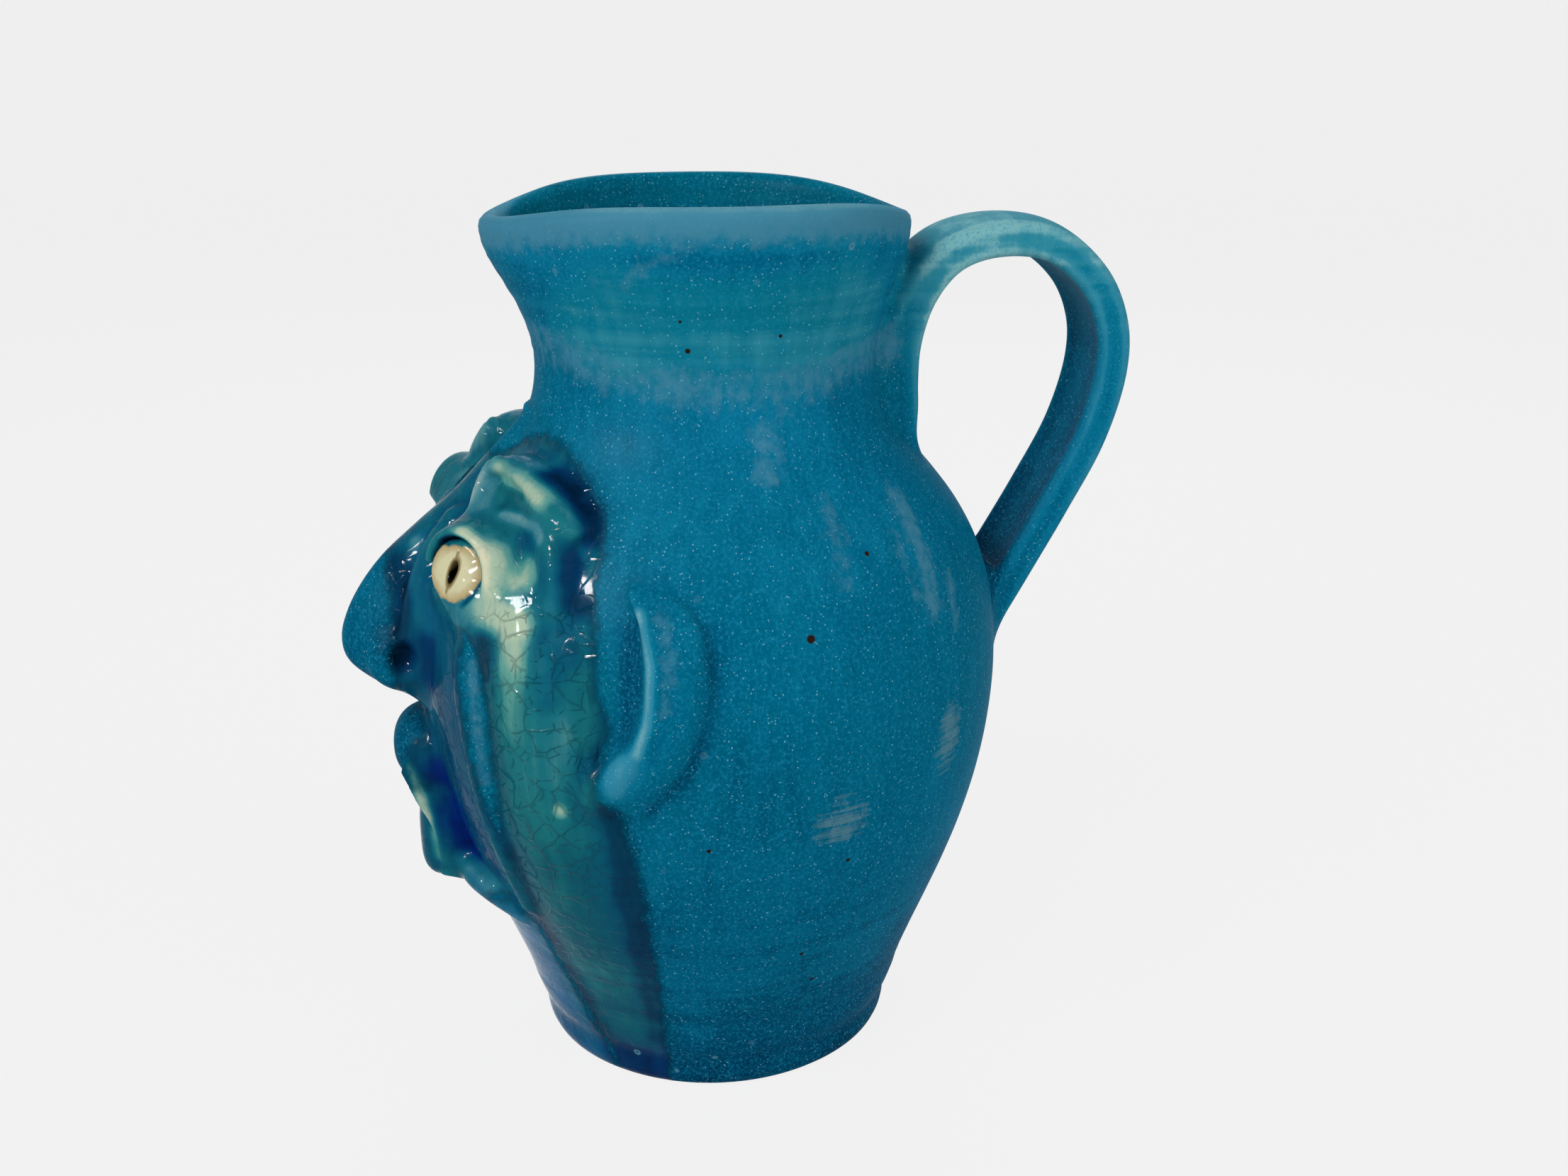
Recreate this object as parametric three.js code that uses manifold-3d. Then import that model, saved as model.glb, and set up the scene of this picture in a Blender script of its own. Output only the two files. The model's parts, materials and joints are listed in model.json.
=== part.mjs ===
// A face jug: a wheel-thrown stoneware jug with a pulled strap handle and a grotesque face made of
// separate pieces of clay, each pressed on the wall with a thin layer of slip.
// Millimetres, +Z up, foot on Z = 0. The face looks along -Y, and its own left is +X.
import * as THREE from "three";
import { mergeVertices } from "three/addons/utils/BufferGeometryUtils.js";
import Module from "manifold-3d";

// Thrown body, as radii from the jug's axis and heights above the foot
const jugHeight = 250;
const footRadius = 49.3;
const footRoll = 3.9;
const footHeight = 14;
const bellyRadius = 83.4;
const bellyHeight = 118;
const neckRadius = 47.7;
const neckHeight = 203;
const rimRadius = 56.4;
const wallThickness = 6.5;
const floorThickness = 9;
const spoutPull = 4.5;
const spoutHalfAngle = 24;
const rimDip = 6;

// Layer of slip between a piece and what it is pressed on
const slipGap = 0.3;

// Strap handle at the back
const strapWidth = 27;
const strapThickness = 11;
const handleReach = 122.5;
const handleTop = 242;
const handleArchCentre = 80;
const handleBendHeight = 202;
const handleRootEnd = 176;
const handleRootWeb = 8;
const handleLowerRoot = 118;

// Nose
const noseTop = 178;
const noseTipHeight = 128;
const noseBase = 108;
const noseReach = 23;
const noseBridgeReach = 3;
const noseBridgeHalfWidth = 8;
const noseWingHalfWidth = 16.5;
const nostrilRadius = 4.6;

// Eyes: a stub that leans out and up from the wall, with a lid draped over it
const eyeAzimuth = 29;
const eyeHeight = 156;
const eyeSplay = 42;
const eyeTilt = 15;
const eyeReach = 9;
const eyeRoot = 12;
const eyeRadius = 9;
const eyeDome = 1.6;
const pupilHalfWidth = 1.5;
const pupilHalfHeight = 3.2;
const pupilDepth = 4;
const lidThickness = 2.6;
const lidSetback = 1;
const lidSweepBack = 5;

// Fold above each lid and brow above the fold, as arches round the eye
const lidFoldHalfSpan = 20;
const lidFoldRise = 17;
const lidFoldRadius = 3.4;
const browHalfSpan = 31;
const browRise = 24;
const browHalfWidth = 5.4;
const browProjection = 8.5;

// Cheek pads, and the folds that run from the nose to the chin
const cheekAzimuth = 50;
const cheekHeight = 123;
const cheekHalfWidth = 16.5;
const cheekHalfHeight = 31;
const cheekProjection = 6;
const foldAzimuth = 34.5;
const foldTop = 142;
const foldBottom = 58;
const foldHalfWidth = 5;
const foldProjection = 6.5;

// Mouth
const upperLipHeight = 95;
const upperLipHalfHeight = 8.6;
const upperLipProjection = 12.6;
const lowerLipHeight = 63;
const lowerLipHalfHeight = 11.4;
const lowerLipProjection = 15.5;
const mouthHeight = 80;
const mouthHalfWidth = 21;

// Ears: a flap with its free edge to the front
const earAzimuth = 66;
const earHeight = 131.5;
const earHalfHeight = 23;
const earDepth = 15;
const earHalfWidth = 6.8;
const earProjection = 9;

const wasm = await Module();
wasm.setup();

const degree = Math.PI / 180;
const vector = (x, y, z) => new THREE.Vector3(x, y, z);
const at = (radius, height) => new THREE.Vector2(radius, height);

// The outside of the wall, from the foot's edge up to the rim, as radius and height
const shoulderHeight = neckHeight - bellyHeight;
const flareHeight = jugHeight - neckHeight;
const bellyRise = bellyHeight - footHeight;
const rimRound = wallThickness / 2;
const footTop = at(footRadius + footRoll * 1.6, footHeight);
const wallCurves = [
  {
    steps: 3,
    curve: new THREE.QuadraticBezierCurve(
      at(footRadius, 0), at(footRadius + footRoll, 0), at(footRadius + footRoll, footHeight / 2)),
  },
  {
    steps: 3,
    curve: new THREE.QuadraticBezierCurve(
      at(footRadius + footRoll, footHeight / 2), at(footRadius + footRoll, footHeight * 0.75), footTop),
  },
  {
    steps: 8,
    curve: new THREE.CubicBezierCurve(
      footTop, at(footRadius + footRoll * 3.3, footHeight + bellyRise * 0.26),
      at(bellyRadius, bellyHeight - bellyRise * 0.44), at(bellyRadius, bellyHeight)),
  },
  {
    steps: 8,
    curve: new THREE.CubicBezierCurve(
      at(bellyRadius, bellyHeight), at(bellyRadius, bellyHeight + shoulderHeight * 0.64),
      at(neckRadius, neckHeight - shoulderHeight * 0.34), at(neckRadius, neckHeight)),
  },
  {
    steps: 6,
    curve: new THREE.CubicBezierCurve(
      at(neckRadius, neckHeight), at(neckRadius, neckHeight + flareHeight * 0.38),
      at(rimRadius, jugHeight - flareHeight * 0.38), at(rimRadius, jugHeight - rimRound)),
  },
];

// Points of the wall's outside, with the given number of extra steps in each step of a curve
function wallPoints(refinement) {
  const points = [wallCurves[0].curve.getPoint(0)];
  for (const { steps, curve } of wallCurves) {
    points.push(...curve.getPoints(steps * refinement).slice(1));
  }
  return points;
}

const fineWall = wallPoints(8);

// Radius of the wall's outside at a height
function wallRadius(height) {
  const above = fineWall.findIndex((point) => point.y >= height);
  if (above < 1) {
    return above === 0 ? footRadius : rimRadius;
  }
  const low = fineWall[above - 1];
  const high = fineWall[above];
  return THREE.MathUtils.mapLinear(height, low.y, high.y, low.x, high.x);
}

// A point at an azimuth in degrees from the middle of the face, a height, and a standoff from the wall
function onWall(azimuth, height, standoff) {
  const radius = wallRadius(height) + standoff;
  return vector(radius * Math.sin(azimuth * degree), -radius * Math.cos(azimuth * degree), height);
}

// Degrees of azimuth that a length along the wall covers at a height
const azimuthOf = (length, height) => length / wallRadius(height) / degree;

// A profile moved sideways, outward where the distance is positive
function offsetLine(points, distance) {
  return points.map((point, i) => {
    const before = points[Math.max(i - 1, 0)];
    const after = points[Math.min(i + 1, points.length - 1)];
    const along = after.clone().sub(before).normalize();
    return at(point.x + along.y * distance, point.y - along.x * distance);
  });
}

// A turned shape, with the pouring lip pulled out at the front and the rim dipped front and back
const latheSides = 48;
function thrown(profile) {
  const geometry = new THREE.LatheGeometry(profile, latheSides).rotateX(Math.PI / 2);
  const position = geometry.getAttribute("position");
  const vertex = vector(0, 0, 0);
  for (let i = 0; i < position.count; i += 1) {
    vertex.fromBufferAttribute(position, i);
    const lift = THREE.MathUtils.smoothstep(vertex.z, neckHeight, jugHeight);
    const azimuth = Math.atan2(vertex.x, -vertex.y);
    const radius = Math.max(Math.hypot(vertex.x, vertex.y), rimRound);
    const pull = spoutPull * lift * Math.exp(-((azimuth / spoutHalfAngle / degree) ** 2));
    const stretch = Math.hypot(vertex.x, vertex.y) > rimRound ? 1 + pull / radius : 1;
    const dip = rimDip * lift * lift * Math.cos(azimuth) ** 4;
    position.setXYZ(i, vertex.x * stretch, vertex.y * stretch, vertex.z - dip);
  }
  return geometry;
}

// A closed skin over a row of rings of points, fanned shut at both ends, with its faces turned out
function skin(rings) {
  const sides = rings[0].length;
  const last = (rings.length - 1) * sides;
  const points = rings.flat();
  const triangles = [];
  for (let start = 0; start < last; start += sides) {
    for (let j = 0; j < sides; j += 1) {
      const a = start + j;
      const b = start + ((j + 1) % sides);
      triangles.push([a, b, b + sides], [a, b + sides, a + sides]);
    }
  }
  for (let j = 1; j < sides - 1; j += 1) {
    triangles.push([0, j + 1, j], [last, last + j, last + j + 1]);
  }
  const corner = vector(0, 0, 0);
  const volume = triangles.reduce(
    (sum, [a, b, c]) => sum + points[a].dot(corner.crossVectors(points[b], points[c])), 0);
  if (volume < 0) {
    triangles.forEach((triangle) => triangle.reverse());
  }
  return new THREE.BufferGeometry().setFromPoints(points).setIndex(triangles.flat());
}

// An elliptical ring round a point, with a half width along one direction and a half height along another
function ring(centre, across, halfWidth, outward, halfHeight, sides) {
  return Array.from({ length: sides }, (_, j) => {
    const angle = (2 * Math.PI * (j + 0.5)) / sides;
    return centre.clone()
      .addScaledVector(across, halfWidth * Math.cos(angle))
      .addScaledVector(outward, halfHeight * Math.sin(angle));
  });
}

// A coil of clay laid along a line on the wall, flattened on it and rounded off at both ends
const coilSides = 10;
function coil(points, halfWidth, halfHeight, steps, bluntness) {
  const line = new THREE.CatmullRomCurve3(points);
  const rings = [];
  for (let i = 0; i <= steps; i += 1) {
    const centre = line.getPointAt(i / steps);
    const along = line.getTangentAt(i / steps);
    const out = vector(centre.x, centre.y, 0).normalize();
    const across = along.clone().cross(out).normalize();
    const outward = across.clone().cross(along).normalize();
    const end = Math.abs((2 * i) / steps - 1);
    const taper = Math.max(Math.sqrt(1 - end ** bluntness), 0.15);
    rings.push(ring(centre, across, halfWidth * taper, outward, halfHeight * taper, coilSides));
  }
  return skin(rings);
}

function solidOf(geometry) {
  const bare = geometry.clone();
  bare.deleteAttribute("normal");
  bare.deleteAttribute("uv");
  const merged = mergeVertices(bare);
  return new wasm.Manifold(new wasm.Mesh({
    numProp: 3,
    vertProperties: new Float32Array(merged.getAttribute("position").array),
    triVerts: new Uint32Array(merged.getIndex().array),
  }));
}

function geometryOf(solid) {
  const { vertProperties, triVerts } = solid.getMesh();
  const geometry = new THREE.BufferGeometry();
  geometry.setAttribute("position", new THREE.BufferAttribute(vertProperties, 3));
  geometry.setIndex(new THREE.BufferAttribute(triVerts, 1));
  return geometry;
}

// The room that a piece takes with the slip round it: every face moved out by a little over the gap
function roomFor(solid) {
  const geometry = mergeVertices(geometryOf(solid));
  geometry.computeVertexNormals();
  const position = geometry.getAttribute("position");
  const normal = geometry.getAttribute("normal");
  const growth = slipGap * 1.4;
  for (let i = 0; i < position.count; i += 1) {
    position.setXYZ(
      i,
      position.getX(i) + normal.getX(i) * growth,
      position.getY(i) + normal.getY(i) * growth,
      position.getZ(i) + normal.getZ(i) * growth,
    );
  }
  return solidOf(geometry);
}

// The jug as a solid block with its slip, which shapes the back of every piece pressed on it
const wallOutside = offsetLine(wallPoints(1), slipGap);
const wallBlock = solidOf(thrown([
  at(0, -floorThickness),
  at(footRadius, -floorThickness),
  ...wallOutside,
  at(rimRadius, jugHeight + floorThickness),
  at(0, jugHeight + floorThickness),
]));

// A piece pressed on the wall and against its neighbours: what is left of it in front of them
function pressed(geometry, neighbours) {
  let solid = solidOf(geometry).subtract(wallBlock);
  for (const neighbour of neighbours) {
    solid = solid.subtract(roomFor(neighbour));
  }
  return solid.decompose().sort((a, b) => b.volume() - a.volume())[0];
}

// Thrown body: wall, floor, neck, rim and pouring lip are one piece of clay
function thrownBody() {
  const outside = wallPoints(1);
  const inside = offsetLine(outside, -wallThickness)
    .filter((point) => point.y > floorThickness * 2 && point.y < jugHeight - wallThickness)
    .reverse();
  const rimMiddle = at(rimRadius - rimRound, jugHeight - rimRound);
  const rim = new THREE.EllipseCurve(rimMiddle.x, rimMiddle.y, rimRound, rimRound, 0, Math.PI);
  const corner = inside[inside.length - 1];
  const floorEdge = new THREE.QuadraticBezierCurve(
    corner,
    at(corner.x - wallThickness / 3, floorThickness),
    at(corner.x - wallThickness * 2, floorThickness));
  return thrown([
    at(0, 0),
    ...outside,
    ...rim.getPoints(6).slice(1),
    ...inside,
    ...floorEdge.getPoints(3).slice(1),
    at(0, floorThickness),
  ]);
}

// Handle: a strap that leaves the neck under the rim, arches over and runs down to the belly
function strapHandle() {
  const half = strapThickness / 2;
  const rootY = neckRadius + half + slipGap;
  const topZ = handleTop - half;
  const backY = handleReach - half;
  const archRise = topZ - handleBendHeight;
  const endY = wallRadius(handleLowerRoot) - wallThickness;
  const round = 0.5523;
  const place = (y, z) => vector(0, y, z);
  const line = new THREE.CurvePath();
  line.add(new THREE.CubicBezierCurve3(
    place(wallRadius(handleRootEnd) - half, handleRootEnd),
    place(rootY, handleRootEnd + half * 2),
    place(rootY, handleBendHeight - half * 2),
    place(rootY, handleBendHeight)));
  line.add(new THREE.CubicBezierCurve3(
    place(rootY, handleBendHeight),
    place(rootY, handleBendHeight + archRise * round),
    place(handleArchCentre - (handleArchCentre - rootY) * round, topZ),
    place(handleArchCentre, topZ)));
  line.add(new THREE.CubicBezierCurve3(
    place(handleArchCentre, topZ),
    place(handleArchCentre + (backY - handleArchCentre) * round, topZ),
    place(backY, handleBendHeight + archRise * round),
    place(backY, handleBendHeight)));
  line.add(new THREE.CubicBezierCurve3(
    place(backY, handleBendHeight),
    place(backY, handleBendHeight - archRise * 0.7),
    place(endY + (backY - endY) * 0.45, handleLowerRoot + (handleBendHeight - handleLowerRoot) * 0.4),
    place(endY, handleLowerRoot - half)));
  const steps = 30;
  const rings = [];
  for (let i = 0; i <= steps; i += 1) {
    const centre = line.getPointAt(i / steps);
    const along = line.getTangentAt(i / steps);
    const outward = vector(0, -along.z, along.y);
    const rise = THREE.MathUtils.smoothstep(centre.z, handleRootEnd, handleBendHeight);
    const nearNeck = 1 - THREE.MathUtils.smoothstep(centre.y, rootY, handleArchCentre);
    const web = handleRootWeb * nearNeck * rise;
    const flare = 1 + 0.12 * nearNeck;
    const section = ring(centre, vector(1, 0, 0), (strapWidth / 2) * flare, outward, half, 12);
    rings.push(section.map((point) => {
      const side = point.clone().sub(centre).dot(outward);
      return side > 0 ? point.addScaledVector(outward, (web * side) / half) : point;
    }));
  }
  return skin(rings);
}

// Nose: level slices, each an ellipse that starts inside the wall and reaches out to the nose's line
function noseShape() {
  const steps = 15;
  const rings = [];
  for (let i = 0; i <= steps; i += 1) {
    const height = THREE.MathUtils.lerp(noseTop, noseBase, i / steps);
    const drop = THREE.MathUtils.clamp((noseTop - height) / (noseTop - noseTipHeight), 0, 1);
    const under = Math.max((noseTipHeight - height) / (noseTipHeight - noseBase), 0);
    const line = THREE.MathUtils.lerp(noseBridgeReach, noseReach, drop);
    const reach = line * (1 - 0.97 * under ** 2.2);
    const widen = THREE.MathUtils.smoothstep(drop, 0.35, 1);
    const wings = THREE.MathUtils.lerp(noseBridgeHalfWidth, noseWingHalfWidth, widen);
    const halfWidth = wings * (1 - 0.35 * under ** 2);
    const middle = onWall(0, height, -wallThickness / 2);
    rings.push(ring(middle, vector(1, 0, 0), halfWidth, vector(0, -1, 0), reach + wallThickness / 2, 14));
  }
  return skin(rings);
}

// A nostril pressed up into the underside of a wing
function nostril(side) {
  const geometry = new THREE.SphereGeometry(nostrilRadius, 10, 7).scale(0.8, 1.2, 1.5);
  const middle = onWall(0, noseTipHeight, noseReach * 0.3);
  return geometry.translate(
    side * (noseWingHalfWidth - nostrilRadius * 0.5), middle.y, noseTipHeight - nostrilRadius * 1.3);
}

// The eye's own frame: its axis leans out from the wall, its top is upward and its side is outward
const eyeAxis = vector(
  Math.sin(eyeSplay * degree) * Math.cos(eyeTilt * degree),
  -Math.cos(eyeSplay * degree) * Math.cos(eyeTilt * degree),
  Math.sin(eyeTilt * degree));
const eyeSide = eyeAxis.clone().cross(vector(0, 0, -1)).normalize();
const eyeTop = eyeAxis.clone().cross(eyeSide).normalize();
const eyeFrame = new THREE.Matrix4()
  .makeBasis(eyeSide, eyeAxis, eyeTop.clone().negate())
  .setPosition(onWall(eyeAzimuth, eyeHeight, 0).addScaledVector(eyeAxis, eyeReach));

// Eye stub: a short rod of clay with a slightly domed end and a pupil pushed into it
function eyeStub() {
  const edge = eyeDome;
  const rod = new THREE.LatheGeometry([
    at(0, -eyeReach - eyeRoot),
    at(eyeRadius, -eyeReach - eyeRoot),
    at(eyeRadius, -edge),
    at(eyeRadius - edge * 0.4, -edge * 0.35),
    at(eyeRadius - edge, 0),
    at(eyeRadius * 0.5, eyeDome * 0.75),
    at(0, eyeDome),
  ], 20);
  const pupil = new THREE.SphereGeometry(1, 10, 8)
    .scale(pupilHalfWidth, pupilDepth, pupilHalfHeight)
    .translate(0, eyeDome, 0);
  return geometryOf(solidOf(rod).subtract(solidOf(pupil))).applyMatrix4(eyeFrame);
}

// Upper lid: a slab bent over the stub from its nose side round to its outer side
function eyeLid() {
  const firstAngle = -75 * degree;
  const lastAngle = 125 * degree;
  const steps = 11;
  const inner = eyeRadius + slipGap;
  const rings = [];
  for (let i = 0; i <= steps; i += 1) {
    const angle = THREE.MathUtils.lerp(firstAngle, lastAngle, i / steps);
    const end = Math.abs((2 * i) / steps - 1);
    const outer = inner + lidThickness * Math.max(Math.sqrt(1 - end ** 6), 0.3);
    const front = -lidSetback - lidSweepBack * (i / steps) ** 2;
    const back = -eyeReach - eyeRoot;
    const spread = lidThickness * 0.8;
    rings.push([
      [inner, back],
      [inner, front],
      [(inner + outer) / 2, front + lidThickness * 0.25],
      [outer, front - lidThickness * 0.4],
      [outer, front - lidThickness],
      [outer + spread, back],
    ].map(([radius, depth]) => vector(radius * Math.sin(angle), depth, -radius * Math.cos(angle))));
  }
  return skin(rings).applyMatrix4(eyeFrame);
}

// Points of an arch round the eye, from the nose side over the top to the outer side
function archRoundEye(halfSpan, rise, firstAngle, lastAngle, standoff) {
  const count = 7;
  return Array.from({ length: count }, (_, i) => {
    const angle = THREE.MathUtils.lerp(firstAngle, lastAngle, i / (count - 1)) * degree;
    const height = eyeHeight + rise * Math.sin(angle);
    return onWall(eyeAzimuth + azimuthOf(halfSpan * Math.cos(angle), eyeHeight), height, standoff);
  });
}

function lidFold() {
  return coil(archRoundEye(lidFoldHalfSpan, lidFoldRise, 165, 30, lidFoldRadius * 0.5),
    lidFoldRadius, lidFoldRadius * 1.3, 11, 6);
}

function brow() {
  return coil(archRoundEye(browHalfSpan, browRise, 164, 24, browProjection * 0.3),
    browHalfWidth, browProjection * 0.7, 15, 3);
}

// Cheek: a pad bulging from the wall beside the mouth
function cheekPad() {
  const middle = onWall(cheekAzimuth, cheekHeight, -wallThickness / 2);
  return new THREE.SphereGeometry(1, 18, 12)
    .scale(cheekHalfWidth, cheekProjection + wallThickness / 2, cheekHalfHeight)
    .rotateZ(cheekAzimuth * degree)
    .translate(middle.x, middle.y, middle.z);
}

// Fold from beside the nose down past the corner of the mouth
function cheekFold() {
  const count = 6;
  const points = Array.from({ length: count }, (_, i) => {
    const share = i / (count - 1);
    const height = THREE.MathUtils.lerp(foldTop, foldBottom, share);
    const bow = azimuthOf(foldHalfWidth * (2 * share - 1) ** 2, height);
    return onWall(foldAzimuth - bow, height, foldProjection * 0.3);
  });
  return coil(points, foldHalfWidth, foldProjection * 0.7, 12, 4);
}

// A lip: a coil from one corner of the mouth to the other
function lip(height, halfHeight, projection) {
  const points = [-1, -0.6, 0, 0.6, 1].map((share) => {
    const level = THREE.MathUtils.lerp(height, mouthHeight, share ** 2 * 0.75);
    const standoff = projection * THREE.MathUtils.lerp(0.35, 0.12, share ** 2);
    return onWall(azimuthOf(mouthHalfWidth * share, mouthHeight), level, standoff);
  });
  return coil(points, halfHeight, projection * 0.65, 12, 4);
}

// Ear: a flap bent into a C that is open to the front, with the lobe curled forward
function ear() {
  const count = 7;
  const points = Array.from({ length: count }, (_, i) => {
    const angle = THREE.MathUtils.lerp(78, -108, i / (count - 1)) * degree;
    const height = earHeight + earHalfHeight * Math.sin(angle);
    const azimuth = earAzimuth + azimuthOf(earDepth * Math.cos(angle), earHeight);
    return onWall(azimuth, height, earProjection * 0.25);
  });
  return coil(points, earHalfWidth, earProjection * 0.75, 15, 4);
}

const glazes = {
  turquoise: new THREE.MeshStandardMaterial({ color: 0x1c82a4, roughness: 0.5, metalness: 0 }),
  strap: new THREE.MeshStandardMaterial({ color: 0x1b869b, roughness: 0.42, metalness: 0 }),
  cobalt: new THREE.MeshStandardMaterial({ color: 0x17608f, roughness: 0.3, metalness: 0 }),
  celadon: new THREE.MeshStandardMaterial({ color: 0x4f9c94, roughness: 0.2, metalness: 0 }),
  ivory: new THREE.MeshStandardMaterial({ color: 0xd8cba2, roughness: 0.3, metalness: 0 }),
};

function pieceOf(name, geometry, glaze) {
  const mesh = new THREE.Mesh(geometry, glazes[glaze]);
  mesh.name = name;
  return mesh;
}

const nose = pressed(
  geometryOf(solidOf(noseShape()).subtract(solidOf(nostril(1))).subtract(solidOf(nostril(-1)))), []);
const upperLip = pressed(lip(upperLipHeight, upperLipHalfHeight, upperLipProjection), [nose]);
const lowerLip = pressed(lip(lowerLipHeight, lowerLipHalfHeight, lowerLipProjection), [upperLip]);
const stub = pressed(eyeStub(), [nose]);
const lid = pressed(eyeLid(), [nose, stub]);
const foldOverLid = pressed(lidFold(), [nose, stub, lid]);
const archedBrow = pressed(brow(), [nose, stub, lid, foldOverLid]);
const foldByMouth = pressed(cheekFold(), [nose, stub, lid, upperLip, lowerLip]);
const pad = pressed(cheekPad(), [stub, lid, foldOverLid, archedBrow, foldByMouth]);
const flap = pressed(ear(), [pad, archedBrow]);

const jug = new THREE.Group();
jug.add(
  pieceOf("thrown_body", thrownBody(), "turquoise"),
  pieceOf("handle", geometryOf(pressed(strapHandle(), [])), "strap"),
  pieceOf("nose", geometryOf(nose), "cobalt"),
  pieceOf("upper_lip", geometryOf(upperLip), "cobalt"),
  pieceOf("lower_lip", geometryOf(lowerLip), "cobalt"),
);

// The pieces that come in pairs, in a group for each side of the face
for (const [side, mirror] of [["left", 1], ["right", -1]]) {
  const half = new THREE.Group();
  half.scale.x = mirror;
  half.add(
    pieceOf(`${side}_eye_stub`, geometryOf(stub), "ivory"),
    pieceOf(`${side}_eye_lid`, geometryOf(lid), "celadon"),
    pieceOf(`${side}_lid_fold`, geometryOf(foldOverLid), "cobalt"),
    pieceOf(`${side}_brow`, geometryOf(archedBrow), "celadon"),
    pieceOf(`${side}_cheek`, geometryOf(pad), "celadon"),
    pieceOf(`${side}_cheek_fold`, geometryOf(foldByMouth), "turquoise"),
    pieceOf(`${side}_ear`, geometryOf(flap), "turquoise"),
  );
  jug.add(half);
}

export default jug;
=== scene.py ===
# %% [markdown]
# A stoneware face jug. The body was thrown on the wheel, a strap was pulled for the handle, and the face is
# made of lumps and coils of clay pressed on the wall. Everything then went under a satin copper glaze, and
# the face under a second, glossier one. Both run, pool and break over the clay. This lesson models the clay
# first and the glaze after it.
#
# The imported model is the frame: every piece here stands where its solid stands, in the same coordinates.

# %% Load the frame
import json
import math

import bpy
import numpy as np
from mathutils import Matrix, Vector

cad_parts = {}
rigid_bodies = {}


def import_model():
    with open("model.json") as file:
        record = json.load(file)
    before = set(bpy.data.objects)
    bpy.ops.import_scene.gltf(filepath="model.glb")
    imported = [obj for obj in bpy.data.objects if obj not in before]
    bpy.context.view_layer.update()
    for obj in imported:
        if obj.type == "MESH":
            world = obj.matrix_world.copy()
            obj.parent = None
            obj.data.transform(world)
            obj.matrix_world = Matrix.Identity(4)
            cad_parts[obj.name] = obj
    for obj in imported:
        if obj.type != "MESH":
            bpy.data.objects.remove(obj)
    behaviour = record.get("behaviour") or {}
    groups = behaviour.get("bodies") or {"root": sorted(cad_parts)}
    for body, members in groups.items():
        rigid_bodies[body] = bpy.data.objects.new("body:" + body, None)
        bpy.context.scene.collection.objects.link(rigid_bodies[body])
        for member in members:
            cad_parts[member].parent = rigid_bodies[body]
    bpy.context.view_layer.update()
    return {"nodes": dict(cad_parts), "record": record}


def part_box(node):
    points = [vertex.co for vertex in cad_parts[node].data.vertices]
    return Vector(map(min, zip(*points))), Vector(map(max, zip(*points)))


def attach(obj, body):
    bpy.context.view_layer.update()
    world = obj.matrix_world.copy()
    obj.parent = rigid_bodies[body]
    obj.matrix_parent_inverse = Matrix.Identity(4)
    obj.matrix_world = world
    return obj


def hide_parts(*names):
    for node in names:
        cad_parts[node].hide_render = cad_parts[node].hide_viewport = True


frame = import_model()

MM = 0.001

# %% [markdown]
# The camera comes first, because every later look is judged through it. It stands close to the jug, a
# little above it, and looks down. That is a hand-held view, so the perspective is strong. Its place and its
# lens were worked out from the outline of the rim, the foot and the belly.

# %% Camera
lens_mm = 37.5
sensor_mm = 36.0
camera_mm = Vector((450.3, -63.3, 289.8))
pitch_down = math.radians(18.8)
turn_right = math.radians(10.75)

forward = Vector((
    -math.cos(pitch_down) * math.cos(turn_right),
    math.cos(pitch_down) * math.sin(turn_right),
    -math.sin(pitch_down),
))
camera = bpy.data.objects.new("camera", bpy.data.cameras.new("camera"))
camera.data.lens = lens_mm
camera.data.sensor_width = sensor_mm
camera.data.clip_start = 0.01
camera.location = camera_mm * MM
camera.rotation_mode = "QUATERNION"
camera.rotation_quaternion = forward.to_track_quat("-Z", "Y")
bpy.context.scene.collection.objects.link(camera)
bpy.context.scene.camera = camera
bpy.context.scene.view_settings.view_transform = "Standard"
print("camera: lens", lens_mm, "mm,", round(camera_mm.length), "mm from the foot")

# %% [markdown]
# Colours are written as sRGB hex values, the way a colour picker shows them, and Blender's shaders work on
# linear light, so one function turns the first into the second. A second small function adds any shader
# node with its settings and its links. All the finishes below are built with these two.

# %% Colour and node helpers
def linear(hex_code):
    shares = [int(hex_code[i:i + 2], 16) / 255 for i in (1, 3, 5)]
    return [s / 12.92 if s <= 0.04045 else ((s + 0.055) / 1.055) ** 2.4 for s in shares] + [1.0]


def add(tree, kind, inputs=None, take=None, **settings):
    """A shader node with its links and settings, or the one of its outputs that take names."""
    made = tree.nodes.new(kind)
    for name, value in settings.items():
        setattr(made, name, value)
    for socket, value in (inputs or {}).items():
        if isinstance(value, bpy.types.NodeSocket):
            tree.links.new(value, made.inputs[socket])
        else:
            made.inputs[socket].default_value = value
    return made if take is None else made.outputs[take]


def new_material(name):
    material = bpy.data.materials.new(name)
    material.use_nodes = True
    material.node_tree.nodes.clear()
    return material, material.node_tree


print("paper white in linear light:", round(linear("#F3F3F3")[0], 3))

# %% [markdown]
# The stage is a wide pale dish: a flat floor that turns up at its edge, so that no view sees where it ends.
# To the camera most of its light is its own paper white, and the rest is what the lamps give it, which
# keeps the jug's soft shadow. Reflections see the same paper.

# %% Paper of the stage
paper = "#F3F3F3"
own_share = 0.95

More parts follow.
